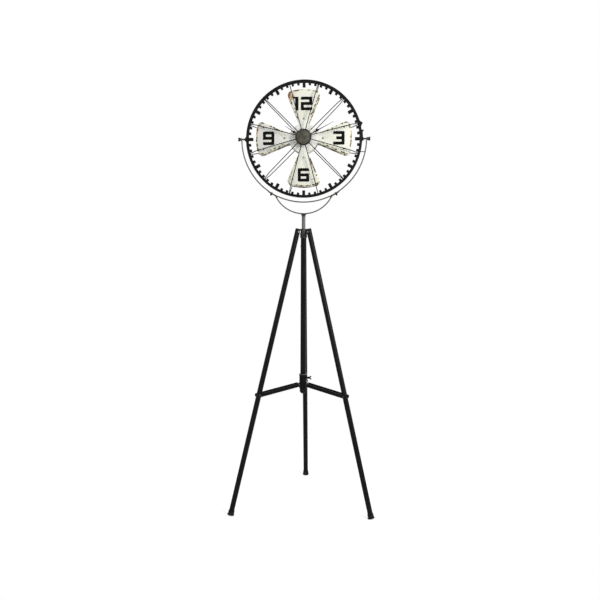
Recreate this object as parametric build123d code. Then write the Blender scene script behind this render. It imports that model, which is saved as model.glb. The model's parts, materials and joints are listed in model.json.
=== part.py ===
from build123d import *
import math
import os

# Floor-standing double-sided clock: a round open dial in a yoke, on a folding tripod.
# Lengths are millimetres. +Z is up, the front dial faces -Y, and the feet stand on z = 0.
# Every piece is built around the tripod's column and moved once, when it is written,
# so that the origin is the middle of the footprint.

# Heights of the leg hinges and the sleeve's pivots above the floor, and what follows them
leg_hinge_height = 1078
spreader_pivot_height = 477
head_top_above_hinge = 13
head_bottom_below_hinge = 22
thumb_screw_below_hinge = 12
set_screw_below_head = 33
sleeve_top_above_pivot = 41
sleeve_screw_above_pivot = 26
end_cap_below_pivot = 25

# Fits
running_clearance = 0.05
side_clearance = 0.3
cut_overrun = 1

# Tripod legs
rear_leg_angle = 90
leg_step_angle = 120
foot_circle_radius = 307.4
leg_head_gap = 3
leg_tube_radius = 10
leg_tube_wall = 1.2
leg_top_above_hinge = 11
leg_plug_depth = 2.5
leg_plug_cap = 1.5
foot_wall = 1.2
foot_flare = 2.3
foot_lip_height = 4
foot_height = 17
foot_floor_thickness = 6
foot_cut_depth = 1.2

# Tripod head
head_wall = 3.4
head_flange_step = 0.3
head_flange_height = 3
tongue_thickness = 6
tongue_half_height = 5
tongue_eye_radius = 7
hinge_bolt_radius = 2.5
hinge_bolt_head_radius = 4.6
hinge_bolt_head_height = 3.4

# Column and its end cap
column_wall = 2
column_socket_depth = 20
end_cap_step = 2.4
end_cap_socket_depth = 7
set_screw_radius = 2
set_screw_head_radius = 3.4
set_screw_head_height = 2.2

# Mast post and the bush that guides it in the column
post_radius = 7.25
post_length = 380
post_standout = 47.7
bush_wall = 1.3
bush_length = 20
spigot_radius = 4
spigot_length = 7

# Spreader
sleeve_wall = 3.8
sleeve_rim_height = 5
sleeve_rim_step = 0.95
sleeve_boss_length = 9.25
lug_reach = 7.55
lug_half_height = 5
arm_drop = 25.7
arm_wall = 1.5
arm_height = 14
arm_end_overhang = 12
arm_inner_rounding = 6.5
arm_end_rounding = 5
web_inner_setback = 12
web_outer_setback = 46
leg_boss_radius = 6
pivot_pin_radius = 2.5
rivet_head_radius = 4.5
rivet_head_height = 2

# Hand screws and wing nuts
knob_hub_radius = 4.5
knob_hub_length = 6
wing_lobe_radius = 3.2
wing_lobe_reach = 4.6
wing_lobe_rise = 4.2
wing_thickness = 2.2
hand_screw_radius = 2.5
nut_hub_radius = 5.5
nut_hub_length = 8
nut_lobe_radius = 4
nut_lobe_reach = 5
nut_lobe_rise = 7
nut_turn = 90
thumb_screw_direction = -76
thumb_screw_standout = 3.5
sleeve_screw_direction = 0

# Dial ring and minute tracks
ring_outer_radius = 225
hoop_thickness = 3
ring_depth = 12
track_width = 7.3
track_thickness = 1.2
minute_tick_length = 8
hour_tick_length = 17.5
minute_tick_width = 9
hour_tick_width = 11
minute_tick_count = 60
hour_tick_count = 12

# Blades, seen from the front: four tapered blades on one round centre
blade_thickness = 1.2
blade_tip_inset = 40
blade_root_distance = 73.6
blade_root_half_width = 26
blade_shoulder_distance = 159
blade_shoulder_half_width = 62
blade_corner_radius = 18
blade_centre_radius = 56
blade_count = 4

# Numerals made of straight strokes
digit_height = 51.5
digit_width = 44
digit_stroke = 11.5
digit_chamfer = 3
numeral_thickness = 0.6
one_width = 12.5
one_flag_length = 7
one_flag_height = 9
digit_gap = 9
top_numeral_inset = 54.5
side_numeral_inset = 50
bottom_numeral_inset = 45
short_stroke_share = 0.72

# Spacers and screws that tie the front and rear blades at their roots
spacer_radius = 4.5
blade_screw_radius = 2
blade_screw_head_radius = 3.6
blade_screw_head_height = 1.6
blade_screw_length = 8

# Wire guards and hub caps
wire_radius = 1.6
wire_count = 12
wire_first_angle = 15
wire_inner_radius = 12
wire_shoulder_inset = 35
wire_shoulder_fall = 11.6
wire_bend_radius = 18
wire_foot_inset = 3.5
hub_plate_thickness = 1.6
hub_plate_gap = 9
standoff_inset = 25
standoff_radius = 1.4
cap_radius = 31
cap_wall = 1.5
cap_edge_height = 4
cap_edge_drop = 3.4

# Movement housing, movements and hands
drum_side_gap = 16.8
drum_wall = 1.2
drum_rim = 2.3
drum_window_end_gap = 1.65
movement_back_depth = 2.8
bay_side_wall = 0.6
bay_end_wall = 2.65
bay_bottom_wall = 1.6
bushing_radius = 4
bushing_reach = 2.8
shaft_nut_radius = 6.4
shaft_nut_height = 2.2
hour_tube_radius = 2.5
hour_tube_insertion = 6.2
hour_tube_standout = 0.6
arbor_radius = 1.45
set_wheel_radius = 8
set_wheel_thickness = 2
hand_thickness = 0.8
hour_hand_gap = 0.8
minute_hand_gap = 1.4
hand_nut_radius = 2.8
hand_nut_height = 2.2
hand_boss_radius = 5.5
hour_hand_length = 87
minute_hand_length = 130
hand_stem_width = 3.4
hand_tip_width = 0.9
hour_spade_distance = 43
hour_spade_width = 10
hour_spade_length = 12
minute_spade_distance = 59
minute_spade_width = 10
minute_spade_length = 20
front_hour_hand_angle = 302
front_minute_hand_angle = 62
rear_hour_hand_angle = 270
rear_minute_hand_angle = 0
battery_radius = 7.1
battery_length = 48.5
battery_nub_radius = 2.7
battery_nub_length = 1.6
battery_bay_clearance = 0.3

# Yoke, lower bow and tilt pivots
yoke_gap = 17
yoke_rod_radius = 2.5
eyelet_radius = 7
eyelet_thickness = 3
pad_width = 12
pad_thickness = 3
pad_start_angle = 24
pad_end_angle = 34.5
bow_drop = 45
bow_leave_angle = 26.1
bow_plate_start_angle = 24.4
bow_plate_thickness = 2.5
bow_bolt_angle = 31
bow_bolt_radius = 2.45
bow_bolt_head_radius = 4.2
bow_bolt_head_height = 2
bow_nut_radius = 4.4
bow_nut_height = 4
bow_bolt_end_length = 2.5
saddle_top_radius = 11.5
saddle_height = 11
saddle_rim_height = 4
pivot_stud_radius = 3
pivot_stud_head_radius = 4.5
pivot_stud_head_height = 1.6
pivot_stud_end_length = 1.5
pivot_boss_radius = 13
pivot_boss_tip_radius = 4.5
pivot_boss_height = 6
pivot_boss_depth = 12
wing_nut_gap = 0.3
strap_thickness = 3
strap_depth = 12
strap_end_angle = 8.5
tab_height = 4
tab_angle = 1.4
clip_angle = 15
clip_thickness = 1.5
clip_width = 20
clip_grip = 2.5
clip_point_height = 8.5
peg_radius = 1.5
peg_drop = 50
peg_tip_inset = 4

# Column, head and hinges, worked outward from the post
column_bore_radius = post_radius + bush_wall + running_clearance
column_radius = column_bore_radius + column_wall
head_radius = column_radius + head_wall
head_flange_radius = head_radius + head_flange_step
head_top_height = leg_hinge_height + head_top_above_hinge
head_bottom_height = leg_hinge_height - head_bottom_below_hinge
thumb_screw_height = leg_hinge_height - thumb_screw_below_hinge
set_screw_height = head_bottom_height - set_screw_below_head
thumb_knob_start_radius = head_radius + thumb_screw_standout
column_top_height = head_bottom_height + column_socket_depth
end_cap_height = spreader_pivot_height - end_cap_below_pivot
end_cap_radius = column_radius + end_cap_step
column_bottom_height = end_cap_height - end_cap_socket_depth

# Legs and feet
leg_angles = {
    "left": rear_leg_angle + leg_step_angle,
    "right": rear_leg_angle - leg_step_angle,
    "rear": rear_leg_angle,
}
leg_hinge_radius = head_radius + leg_head_gap + leg_tube_radius
leg_tilt = math.degrees(math.atan2(foot_circle_radius - leg_hinge_radius, leg_hinge_height))
leg_length = leg_hinge_height / math.cos(math.radians(leg_tilt))
foot_neck_radius = leg_tube_radius + foot_wall
foot_base_radius = foot_neck_radius + foot_flare
foot_edge_rise = foot_base_radius * math.sin(math.radians(leg_tilt))
foot_lift = (foot_edge_rise - foot_cut_depth) / math.cos(math.radians(leg_tilt))

# Sleeve and arms
sleeve_bore_radius = column_radius + running_clearance
sleeve_radius = sleeve_bore_radius + sleeve_wall
sleeve_rim_radius = sleeve_radius + sleeve_rim_step
sleeve_bottom_height = end_cap_height + math.sqrt(end_cap_radius**2 - column_radius**2) + side_clearance
sleeve_top_height = spreader_pivot_height + sleeve_top_above_pivot
sleeve_screw_height = spreader_pivot_height + sleeve_screw_above_pivot
sleeve_knob_start_radius = sleeve_radius + sleeve_boss_length + side_clearance
spreader_pivot_radius = sleeve_radius + lug_reach
leg_boss_height = spreader_pivot_height - arm_drop
leg_boss_distance = (leg_hinge_height - leg_boss_height) / math.cos(math.radians(leg_tilt))
leg_boss_radius_from_axis = leg_hinge_radius + leg_boss_distance * math.sin(math.radians(leg_tilt))
arm_run = leg_boss_radius_from_axis - spreader_pivot_radius
arm_length = math.hypot(arm_run, arm_drop)
arm_slope = math.degrees(math.atan2(arm_drop, arm_run))
arm_inner_half_width = leg_tube_radius + side_clearance
arm_outer_half_width = arm_inner_half_width + arm_wall

# Ring, tracks and blades, worked inward from the ring
ring_inner_radius = ring_outer_radius - hoop_thickness
half_ring_depth = ring_depth / 2
track_inner_radius = ring_inner_radius - track_width
minute_tick_inner_radius = track_inner_radius - minute_tick_length
hour_tick_inner_radius = track_inner_radius - hour_tick_length
blade_tip_radius = ring_outer_radius - blade_tip_inset
standoff_distance = blade_tip_radius - standoff_inset

# Depths from the dial's middle outward: cell, movement, blades, hands, guard and cap
bay_radius = battery_radius + battery_bay_clearance
bay_length = battery_length + battery_nub_length + 2 * battery_bay_clearance
movement_width = bay_length + 2 * bay_end_wall
battery_offset = movement_width / 2 - bay_radius - bay_bottom_wall
blade_back_depth = movement_back_depth + 2 * (bay_radius + bay_side_wall)
blade_face_depth = blade_back_depth + blade_thickness
hour_tube_bottom_depth = blade_face_depth - hour_tube_insertion
hour_hand_depth = blade_face_depth + bushing_reach + hour_hand_gap
hour_tube_top_depth = hour_hand_depth + hand_thickness + hour_tube_standout
minute_hand_depth = hour_tube_top_depth + minute_hand_gap
hub_plate_back_depth = minute_hand_depth + hand_thickness + hand_nut_height + hub_plate_gap
guard_plate_depth = hub_plate_back_depth + hub_plate_thickness
wire_inner_depth = guard_plate_depth + wire_radius
wire_shoulder_depth = wire_inner_depth - wire_shoulder_fall
wire_shoulder_radius = ring_outer_radius - wire_shoulder_inset
wire_foot_radius = ring_inner_radius - wire_foot_inset
cap_front_depth = guard_plate_depth + cap_edge_height + cap_edge_drop
drum_radius = movement_width / 2 + drum_side_gap + drum_wall
drum_window_width = bay_length + 2 * drum_window_end_gap
drum_window_depth = 2 * (blade_back_depth - drum_rim)

# Yoke and bow. The bow's circle passes its lowest point and the points where it leaves the plates.
yoke_radius = ring_outer_radius + yoke_gap
eyelet_face_radius = yoke_radius + yoke_rod_radius
wing_nut_seat_radius = eyelet_face_radius + wing_nut_gap
yoke_pad_outer_radius = yoke_radius + pad_thickness / 2
bow_plate_outer_radius = yoke_pad_outer_radius + bow_plate_thickness
bow_reach = yoke_radius + bow_drop
bow_leave_rise = bow_reach - bow_plate_outer_radius * math.cos(math.radians(bow_leave_angle))
bow_centre_drop = (bow_reach**2 - bow_plate_outer_radius**2) / (2 * bow_leave_rise)
bow_radius = bow_reach - bow_centre_drop
peg_root_distance = math.sqrt(ring_inner_radius**2 - peg_drop**2)
peg_tip_distance = yoke_radius - peg_tip_inset

# Heights of the saddle and the hub, worked upward from the head
saddle_seat_height = head_top_height + post_standout
saddle_bottom_height = saddle_seat_height + side_clearance
bow_bottom_height = saddle_bottom_height + saddle_height
hub_height = bow_bottom_height + bow_reach

upright = (Align.CENTER, Align.CENTER, Align.MIN)
nodes = {}


def rod(radius, start, end):
    """Round bar along Z between two heights."""
    return Pos(0, 0, start) * Cylinder(radius, end - start, align=upright)


def tube(outer_radius, inner_radius, start, end):
    """Round tube along Z between two heights."""
    return rod(outer_radius, start, end) - rod(inner_radius, start - cut_overrun, end + cut_overrun)


def cone(bottom_radius, top_radius, start, end):
    """Truncated cone along Z between two heights."""
    return Pos(0, 0, start) * Cone(bottom_radius, top_radius, end - start, align=upright)


def hexagon(corner_radius, start, end):
    """Hexagonal bar along Z between two heights."""
    return Pos(0, 0, start) * extrude(RegularPolygon(corner_radius, 6), end - start)


def facing(direction):
    """Placement whose +X points outward from the column in a direction given in degrees."""
    return Rot(0, 0, direction)


def along_x(shape):
    """A shape built along +Z, laid along +X."""
    return Rot(0, 90, 0) * shape


def along_y(shape):
    """A shape built along +Z, laid along +Y."""
    return Rot(-90, 0, 0) * shape


def ring_sector(inner_radius, outer_radius, depth, start_angle, end_angle):
    """Part of a flat-sided ring about Z, centred on z = 0."""
    middle_radius = (inner_radius + outer_radius) / 2
    section = Plane.XZ * Pos(middle_radius, 0) * Rectangle(outer_radius - inner_radius, depth)
    return Rot(0, 0, start_angle) * revolve(section, Axis.Z, end_angle - start_angle)


def wings(start, lobe_radius, lobe_reach, lobe_rise):
    """Two rounded wings across X that stand on a knob from a height, with their lobes above it."""
    lobes = Sketch() + [Pos(side * lobe_reach, start + lobe_rise) * Circle(lobe_radius) for side in (-1, 1)]
    root = Pos(0, start + lobe_rise / 2) * Rectangle(2 * lobe_reach, lobe_rise)
    return extrude(Plane.XZ * (lobes + root), wing_thickness / 2, both=True)


def hand_screw(tip_distance, knob_distance):
    """Wing screw along +X: its tip, shank and knob, measured from the axis that it points at."""
    knob_end = knob_distance + knob_hub_length
    body = rod(hand_screw_radius, tip_distance, knob_distance) + cone(
        knob_hub_radius, hand_screw_radius, knob_distance, knob_end
    )
    lobes = (wing_lobe_radius, wing_lobe_reach, wing_lobe_rise)
    return along_x(body + wings(knob_distance + wing_thickness, *lobes))


def wing_nut():
    """Wing nut along +X, seated on x = 0, bored for the tilt stud."""
    top = nut_hub_length + nut_lobe_rise + nut_lobe_radius
    body = cone(nut_hub_radius, pivot_stud_radius + wing_thickness / 2, 0, nut_hub_length)
    body += wings(wing_thickness, nut_lobe_radius, nut_lobe_reach, nut_lobe_rise)
    return Rot(nut_turn, 0, 0) * along_x(body - rod(pivot_stud_radius + running_clearance, -cut_overrun, top))


# Tripod

def leg_place(direction):
    """Placement with its origin at a leg's hinge and +Z up along the leg."""
    return facing(direction) * Pos(leg_hinge_radius, 0, leg_hinge_height) * Rot(0, -leg_tilt, 0)


def arm_place(direction):
    """Placement with its origin at an arm's sleeve pivot and +X along the arm."""
    return facing(direction) * Pos(spreader_pivot_radius, 0, spreader_pivot_height) * Rot(0, arm_slope, 0)


def leg_tube():
    """Leg tube with its slotted top and the cross boss that sits between the arm's ears."""
    top = leg_top_above_hinge
    bottom = foot_lift + foot_floor_thickness - leg_length
    bore_radius = leg_tube_radius - leg_tube_wall
    boss = Pos(0, 0, -leg_boss_distance) * along_y(rod(leg_boss_radius, -leg_tube_radius, leg_tube_radius))
    slot_bottom = -tongue_eye_radius - cut_overrun
    slot_width = tongue_thickness + 2 * side_clearance
    slot_height = top + cut_overrun - slot_bottom
    slot = Box(leg_tube_radius, slot_width, slot_height, align=upright)
    slot = Pos(-leg_tube_radius / 2, 0, slot_bottom) * slot
    hole_radius = hinge_bolt_radius + running_clearance
    bolt_hole = along_y(rod(hole_radius, -2 * leg_tube_radius, 2 * leg_tube_radius))
    hollow = rod(bore_radius, bottom - cut_overrun, top + cut_overrun)
    return rod(leg_tube_radius, bottom, top) - hollow + boss - slot - bolt_hole


def leg_plug():
    """Plastic plug that closes the leg's top, notched for the head's tongue."""
    top = leg_top_above_hinge
    plug = rod(leg_tube_radius - leg_tube_wall, top - leg_plug_depth, top)
    cap = rod(leg_tube_radius, top, top + leg_plug_cap)
    notch = Pos(-leg_tube_radius / 2, 0, top - leg_plug_depth - cut_overrun) * Box(
        leg_tube_radius, tongue_thickness + 2 * side_clearance, leg_plug_depth + cut_overrun, align=upright
    )
    return plug + cap - notch


def foot():
    """Flared foot on the leg's end, trimmed flat where it meets the floor."""
    bottom = foot_lift - leg_length
    flare = rod(foot_base_radius, bottom, bottom + foot_lip_height)
    flare += cone(foot_base_radius, foot_neck_radius, bottom + foot_lip_height, bottom + foot_height)
    socket = rod(leg_tube_radius, bottom + foot_floor_thickness, bottom + foot_height + cut_overrun)
    return flare - socket


def floor_trim():
    """Block below the floor that trims the feet."""
    width = 3 * foot_circle_radius
    return Box(width, width, foot_base_radius, align=(Align.CENTER, Align.CENTER, Align.MAX))


def hinge_bolt():
    """Bolt, head and nut of one leg hinge, along Y, with the threads left out."""
    reach = leg_tube_radius + side_clearance
    bolt = rod(hinge_bolt_radius, -reach - hinge_bolt_head_height, reach)
    bolt += hexagon(hinge_bolt_head_radius, -reach - hinge_bolt_head_height, -reach)
    bolt += hexagon(hinge_bolt_head_radius, reach, reach + hinge_bolt_head_height)
    return along_y(bolt)


def tripod_head():
    """Casting that carries the mast post, the column and the three leg hinges."""
    body = rod(head_radius, head_bottom_height, head_top_height)
    body += rod(head_flange_radius, head_bottom_height, head_bottom_height + head_flange_height)
    for direction in leg_angles.values():
        neck = Pos(leg_hinge_radius / 2, 0, leg_hinge_height) * Box(
            leg_hinge_radius, tongue_thickness, 2 * tongue_half_height
        )
        eye = Pos(leg_hinge_radius, 0, leg_hinge_height) * along_y(
            rod(tongue_eye_radius, -tongue_thickness / 2, tongue_thickness / 2)
        )
        hole = Pos(leg_hinge_radius, 0, leg_hinge_height) * along_y(
            rod(hinge_bolt_radius, -tongue_thickness, tongue_thickness)
        )
        body += facing(direction) * (neck + eye - hole)
    body -= rod(column_radius, head_bottom_height - cut_overrun, column_top_height)
    body -= rod(post_radius + running_clearance, head_bottom_height, head_top_height + cut_overrun)
    return body - hand_screw_hole(thumb_screw_direction, thumb_screw_height)


def hand_screw_hole(direction, height):
    """Cutter for the hole of a hand screw, from the column's axis outward."""
    return facing(direction) * Pos(0, 0, height) * along_x(
        rod(hand_screw_radius + running_clearance, 0, 2 * column_radius)
    )


def set_screw():
    """Small screw in the column's left side, with half of its head standing out."""
    half_head = set_screw_head_height / 2
    shank = rod(set_screw_radius, column_bore_radius, column_radius)
    head = rod(set_screw_head_radius, column_radius - half_head, column_radius + half_head)
    return facing(180) * Pos(0, 0, set_screw_height) * along_x(shank + head)


def column_tube():
    """Fixed column below the head."""
    shell = tube(column_radius, column_bore_radius, column_bottom_height, column_top_height)
    return shell - hand_screw_hole(thumb_screw_direction, thumb_screw_height) - set_screw()


def column_end_cap():
    """Ball on the column's lower end, on which the spreader's sleeve rests."""
    ball = Pos(0, 0, end_cap_height) * Sphere(end_cap_radius)
    return ball - rod(column_radius, column_bottom_height, end_cap_height + end_cap_radius)


def mast_post():
    """Post that slides in the head, with the spigot that the clock's saddle turns on."""
    post = rod(post_radius, saddle_seat_height - post_length, saddle_seat_height)
    return post + rod(spigot_radius, saddle_seat_height, saddle_seat_height + spigot_length)


def mast_bush():
    """Plastic bush around the post's lower end, which runs in the column."""
    bottom = saddle_seat_height - post_length
    return tube(post_radius + bush_wall, post_radius, bottom, bottom + bush_length)


def spreader_sleeve():
    """Sleeve that slides on the column, with one lug for each arm."""
    body = rod(sleeve_radius, sleeve_bottom_height, sleeve_top_height)
    body += rod(sleeve_rim_radius, sleeve_top_height - sleeve_rim_height, sleeve_top_height)
    for direction in leg_angles.values():
        lug_width = 2 * (arm_inner_half_width - side_clearance)
        neck = Pos(spreader_pivot_radius / 2, 0, spreader_pivot_height) * Box(
            spreader_pivot_radius, lug_width, 2 * lug_half_height
        )
        nose = Pos(spreader_pivot_radius, 0, spreader_pivot_height) * along_y(
            rod(lug_half_height, -lug_width / 2, lug_width / 2)
        )
        body += facing(direction) * (neck + nose - pivot_pin_hole())
    bore = rod(sleeve_bore_radius, sleeve_bottom_height - cut_overrun, sleeve_top_height + cut_overrun)
    boss_end = sleeve_knob_start_radius - side_clearance
    boss = Pos(0, 0, sleeve_screw_height) * along_x(rod(knob_hub_radius, 0, boss_end))
    hole = Pos(0, 0, sleeve_screw_height) * along_x(
        rod(hand_screw_radius + running_clearance, 0, sleeve_knob_start_radius + cut_overrun)
    )
    return body + facing(sleeve_screw_direction) * boss - bore - facing(sleeve_screw_direction) * hole


def pivot_pin_hole():
    """Cutter for an arm's pin in the sleeve's lug."""
    return Pos(spreader_pivot_radius, 0, spreader_pivot_height) * along_y(
        rod(pivot_pin_radius, -arm_outer_half_width, arm_outer_half_width)
    )


def sleeve_pin():
    """Pin of one arm, riveted over outside the arm's walls."""
    reach = arm_outer_half_width + side_clearance
    pin = rod(pivot_pin_radius, -reach, reach)
    pin += rod(rivet_head_radius, reach, reach + rivet_head_height)
    pin += rod(rivet_head_radius, -reach - rivet_head_height, -reach)
    return Pos(spreader_pivot_radius, 0, spreader_pivot_height) * along_y(pin)


def spreader_arm():
    """Channel open upward: two side walls over the whole length and a web between its ends."""
    half_height = arm_height / 2
    full_width = 2 * arm_outer_half_width
    wall_length = arm_length + half_height + arm_end_overhang
    profile = Pos((arm_length + arm_end_overhang - half_height) / 2, 0) * Rectangle(wall_length, arm_height)
    inner_corners = profile.vertices().group_by(Axis.X)[0]
    profile = fillet(inner_corners, arm_inner_rounding)
    outer_corners = profile.vertices().group_by(Axis.X)[-1]
    profile = fillet(outer_corners, arm_end_rounding)
    block = extrude(Plane.XZ * profile, full_width / 2, both=True)
    inside_width = 2 * arm_inner_half_width
    web_length = arm_length - web_inner_setback - web_outer_setback
    trough = Pos(web_inner_setback, 0, -half_height + arm_wall) * Box(
        web_length, inside_width, arm_height, align=(Align.MIN, Align.CENTER, Align.MIN)
    )
    inner_end = Pos(web_inner_setback, 0, 0) * Box(
        web_inner_setback + arm_height, inside_width, 2 * arm_height,
        align=(Align.MAX, Align.CENTER, Align.CENTER),
    )
    outer_end = Pos(arm_length - web_outer_setback, 0, 0) * Box(
        web_outer_setback + 2 * arm_end_overhang, inside_width, 2 * arm_height,
        align=(Align.MIN, Align.CENTER, Align.CENTER),
    )
    pin_hole = along_y(rod(pivot_pin_radius + running_clearance, -full_width, full_width))
    bolt_hole = Pos(arm_length, 0, 0) * along_y(rod(pivot_pin_radius, -full_width, full_width))
    return block - trough - inner_end - outer_end - pin_hole - bolt_hole


def spreader_rivets():
    """Rivets in the arm's two outer ears, each with a head outside; the leg's boss lies between them."""
    rivets = []
    for side in (-1, 1):
        shank = rod(pivot_pin_radius, arm_inner_half_width, arm_outer_half_width)
        head = rod(rivet_head_radius, arm_outer_half_width, arm_outer_half_width + rivet_head_height)
        rivets.append(Pos(arm_length, 0, 0) * Rot(-90 * side, 0, 0) * (shank + head))
    return rivets


# Support: saddle, lower bow and yoke. Built about the hub, with x across and y up the dial.

front_place = Pos(0, 0, hub_height) * Rot(90, 0, 0)
rear_place = front_place * Rot(0, 180, 0)


def bottom_sector(inner_radius, outer_radius, depth, start_angle, end_angle, side):
    """Ring sector whose angles count from six o'clock towards one side."""
    if side > 0:
        return ring_sector(inner_radius, outer_radius, depth, start_angle - 90, end_angle - 90)
    return ring_sector(inner_radius, outer_radius, depth, -90 - end_angle, -90 - start_angle)


def bow_bolt_place(side):
    """Placement at the hub with +Z out along a bow bolt."""
    return Rot(0, 0, -90 + side * bow_bolt_angle) * Rot(0, 90, 0)


def yoke_rod():
    """Half-round rod with an eyelet flush with its outside at each end and two flattened pads for the bow."""
    end_angle = math.degrees(math.asin((eyelet_radius - eyelet_thickness / 2) / yoke_radius))
    path = CenterArc((0, 0), yoke_radius, 180 + end_angle, 180 - 2 * end_angle)
    body = sweep((path ^ 0) * Circle(yoke_rod_radius), path=path)
    pad_inner_radius = yoke_pad_outer_radius - pad_thickness
    for side in (-1, 1):
        flat = (pad_start_angle, pad_end_angle, side)
        body -= bottom_sector(yoke_radius - pad_width, yoke_radius + pad_width, 2 * pad_width, *flat)
        body += bottom_sector(pad_inner_radius, yoke_pad_outer_radius, pad_width, *flat)
        body -= bow_bolt_place(side) * rod(bow_bolt_radius, yoke_radius - pad_width, yoke_radius + pad_width)
        eyelet = rod(eyelet_radius, eyelet_face_radius - eyelet_thickness, eyelet_face_radius)
        body += Rot(0, 90 * side, 0) * eyelet
    stud_hole = rod(pivot_stud_radius + running_clearance, -2 * yoke_radius, 2 * yoke_radius)
    return body - along_x(stud_hole)


def lower_bow():
    """Rod bow under the yoke with a curved plate welded on each end."""
    half_angle = 90
    path = CenterArc((0, -bow_centre_drop), bow_radius, 270 - half_angle, 2 * half_angle)
    body = sweep((path ^ 0) * Circle(yoke_rod_radius), path=path)
    body -= Cylinder(bow_plate_outer_radius, 4 * yoke_rod_radius)
    for side in (-1, 1):
        flat = (bow_plate_start_angle, pad_end_angle, side)
        body += bottom_sector(yoke_pad_outer_radius, bow_plate_outer_radius, pad_width, *flat)
        body -= bow_bolt_place(side) * rod(bow_bolt_radius, yoke_radius, yoke_radius + pad_width)
    return body


def bow_bolts():
    """Bolt and nut on each side, along the radius through pad and plate."""
    pieces = []
    head_seat = math.sqrt((yoke_pad_outer_radius - pad_thickness) ** 2 - bow_bolt_head_radius**2)
    nut_end = bow_plate_outer_radius + bow_nut_height
    for side in (-1, 1):
        bolt = cone(bow_bolt_radius, bow_bolt_head_radius, head_seat - bow_bolt_head_height, head_seat)
        bolt += rod(bow_bolt_radius, head_seat, nut_end + bow_bolt_end_length)
        nut = hexagon(bow_nut_radius, bow_plate_outer_radius, nut_end)
        pieces += [bow_bolt_place(side) * bolt, bow_bolt_place(side) * (nut - bolt)]
    return pieces


def bow_saddle():
    """Turned funnel that turns on the post's spigot, with the bow welded in its groove."""
    rim_start = bow_bottom_height - saddle_rim_height
    body = cone(post_radius, saddle_top_radius, saddle_bottom_height, rim_start)
    body += rod(saddle_top_radius, rim_start, bow_bottom_height)
    spigot_top = saddle_seat_height + spigot_length + side_clearance
    body -= rod(spigot_radius + running_clearance, saddle_bottom_height - cut_overrun, spigot_top)
    return body


# Dial. Built about the hub, with x across, y up and z towards the front.

def dial_hoop():
    """Rolled hoop of the dial ring, drilled for the tilt studs."""
    hoop = tube(ring_outer_radius, ring_inner_radius, -half_ring_depth, half_ring_depth)
    hole_end = ring_outer_radius + cut_overrun
    return hoop - along_x(rod(pivot_stud_radius, -hole_end, hole_end))


def minute_track():
    """Flat ring inside the hoop's front edge with its teeth cut inward, long ones on the hours."""
    track = Circle(ring_inner_radius) - Circle(track_inner_radius)
    for index in range(minute_tick_count):
        on_hour = index % (minute_tick_count // hour_tick_count) == 0
        inner_radius = hour_tick_inner_radius if on_hour else minute_tick_inner_radius
        width = hour_tick_width if on_hour else minute_tick_width
        length = track_inner_radius + track_thickness - inner_radius
        tooth = Pos(inner_radius + length / 2, 0) * Rectangle(length, width)
        track += Rot(0, 0, index * 360 / minute_tick_count) * tooth
    return Pos(0, 0, half_ring_depth - track_thickness) * extrude(track, track_thickness)


def blade_outline():
    """Flat outline of the four blades on their round centre."""
    flare_run = blade_shoulder_distance - blade_root_distance
    flare = (blade_shoulder_half_width - blade_root_half_width) / flare_run
    tip_half_width = blade_root_half_width + flare * (blade_tip_radius - blade_root_distance)
    outline = Circle(blade_centre_radius)
    for index in range(blade_count):
        root = (blade_root_half_width, blade_root_distance)
        tip = (tip_half_width, blade_tip_radius)
        start_half_width = blade_root_half_width - flare * (blade_root_distance - blade_centre_radius / 2)
        start = (start_half_width, blade_centre_radius / 2)
        right_side = [start, root, tip]
        left_side = [(-x, y) for x, y in reversed(right_side)]
        wedge = make_face(Polyline(*right_side, *left_side, close=True)) & Circle(blade_tip_radius)
        corners = wedge.vertices().sort_by(Axis.Y)[-2:]
        outline += Rot(0, 0, index * 360 / blade_count) * fillet(corners, blade_corner_radius)
    return outline


def blades():
    """One sheet with four blades, holed for the movement's bushing and the tie screws."""
    sheet = Pos(0, 0, blade_back_depth) * extrude(blade_outline(), blade_thickness)
    sheet -= rod(bushing_radius + running_clearance, 0, 2 * blade_face_depth)
    hole_radius = blade_screw_radius + running_clearance
    for index in range(blade_count):
        hole = Pos(blade_root_distance, 0, 0) * rod(hole_radius, 0, 2 * blade_face_depth)
        sheet -= Rot(0, 0, index * 360 / blade_count) * hole
    return sheet


def stroke(left, right, bottom, top):
    """Straight stroke of a numeral between two corners."""
    return Pos((left + right) / 2, (bottom + top) / 2) * Rectangle(right - left, top - bottom)


def block_digit(bars):
    """Squared numeral from the named bars, centred on the origin, with its outer corners cut off."""
    right = digit_width / 2
    top = digit_height / 2
    half_stroke = digit_stroke / 2
    short_left = right - digit_width * short_stroke_share
    strokes = {
        "top": (-right, right, top - digit_stroke, top),
        "middle": (-right, right, -half_stroke, half_stroke),
        "short_middle": (short_left, right, -half_stroke, half_stroke),
        "bottom": (-right, right, -top, digit_stroke - top),
        "upper_left": (-right, digit_stroke - right, -half_stroke, top),
        "upper_right": (right - digit_stroke, right, -half_stroke, top),
        "lower_left": (-right, digit_stroke - right, -top, half_stroke),
        "lower_right": (right - digit_stroke, right, -top, half_stroke),
    }
    outer_shape = chamfer(Rectangle(digit_width, digit_height).vertices(), digit_chamfer)
    return (Sketch() + [stroke(*strokes[bar]) for bar in bars]) & outer_shape


def one_digit():
    """Plain upright one with a short flag."""
    top = digit_height / 2
    right = one_width / 2
    left = -right - one_flag_length
    flag_foot = top - one_flag_height
    flag_edge = top - one_flag_height / 2
    stem = [(right, top), (right, -top), (-right, -top)]
    outline = stem + [(-right, flag_foot), (left, flag_edge), (left, top)]
    return make_face(Polyline(*outline, close=True))


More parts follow.
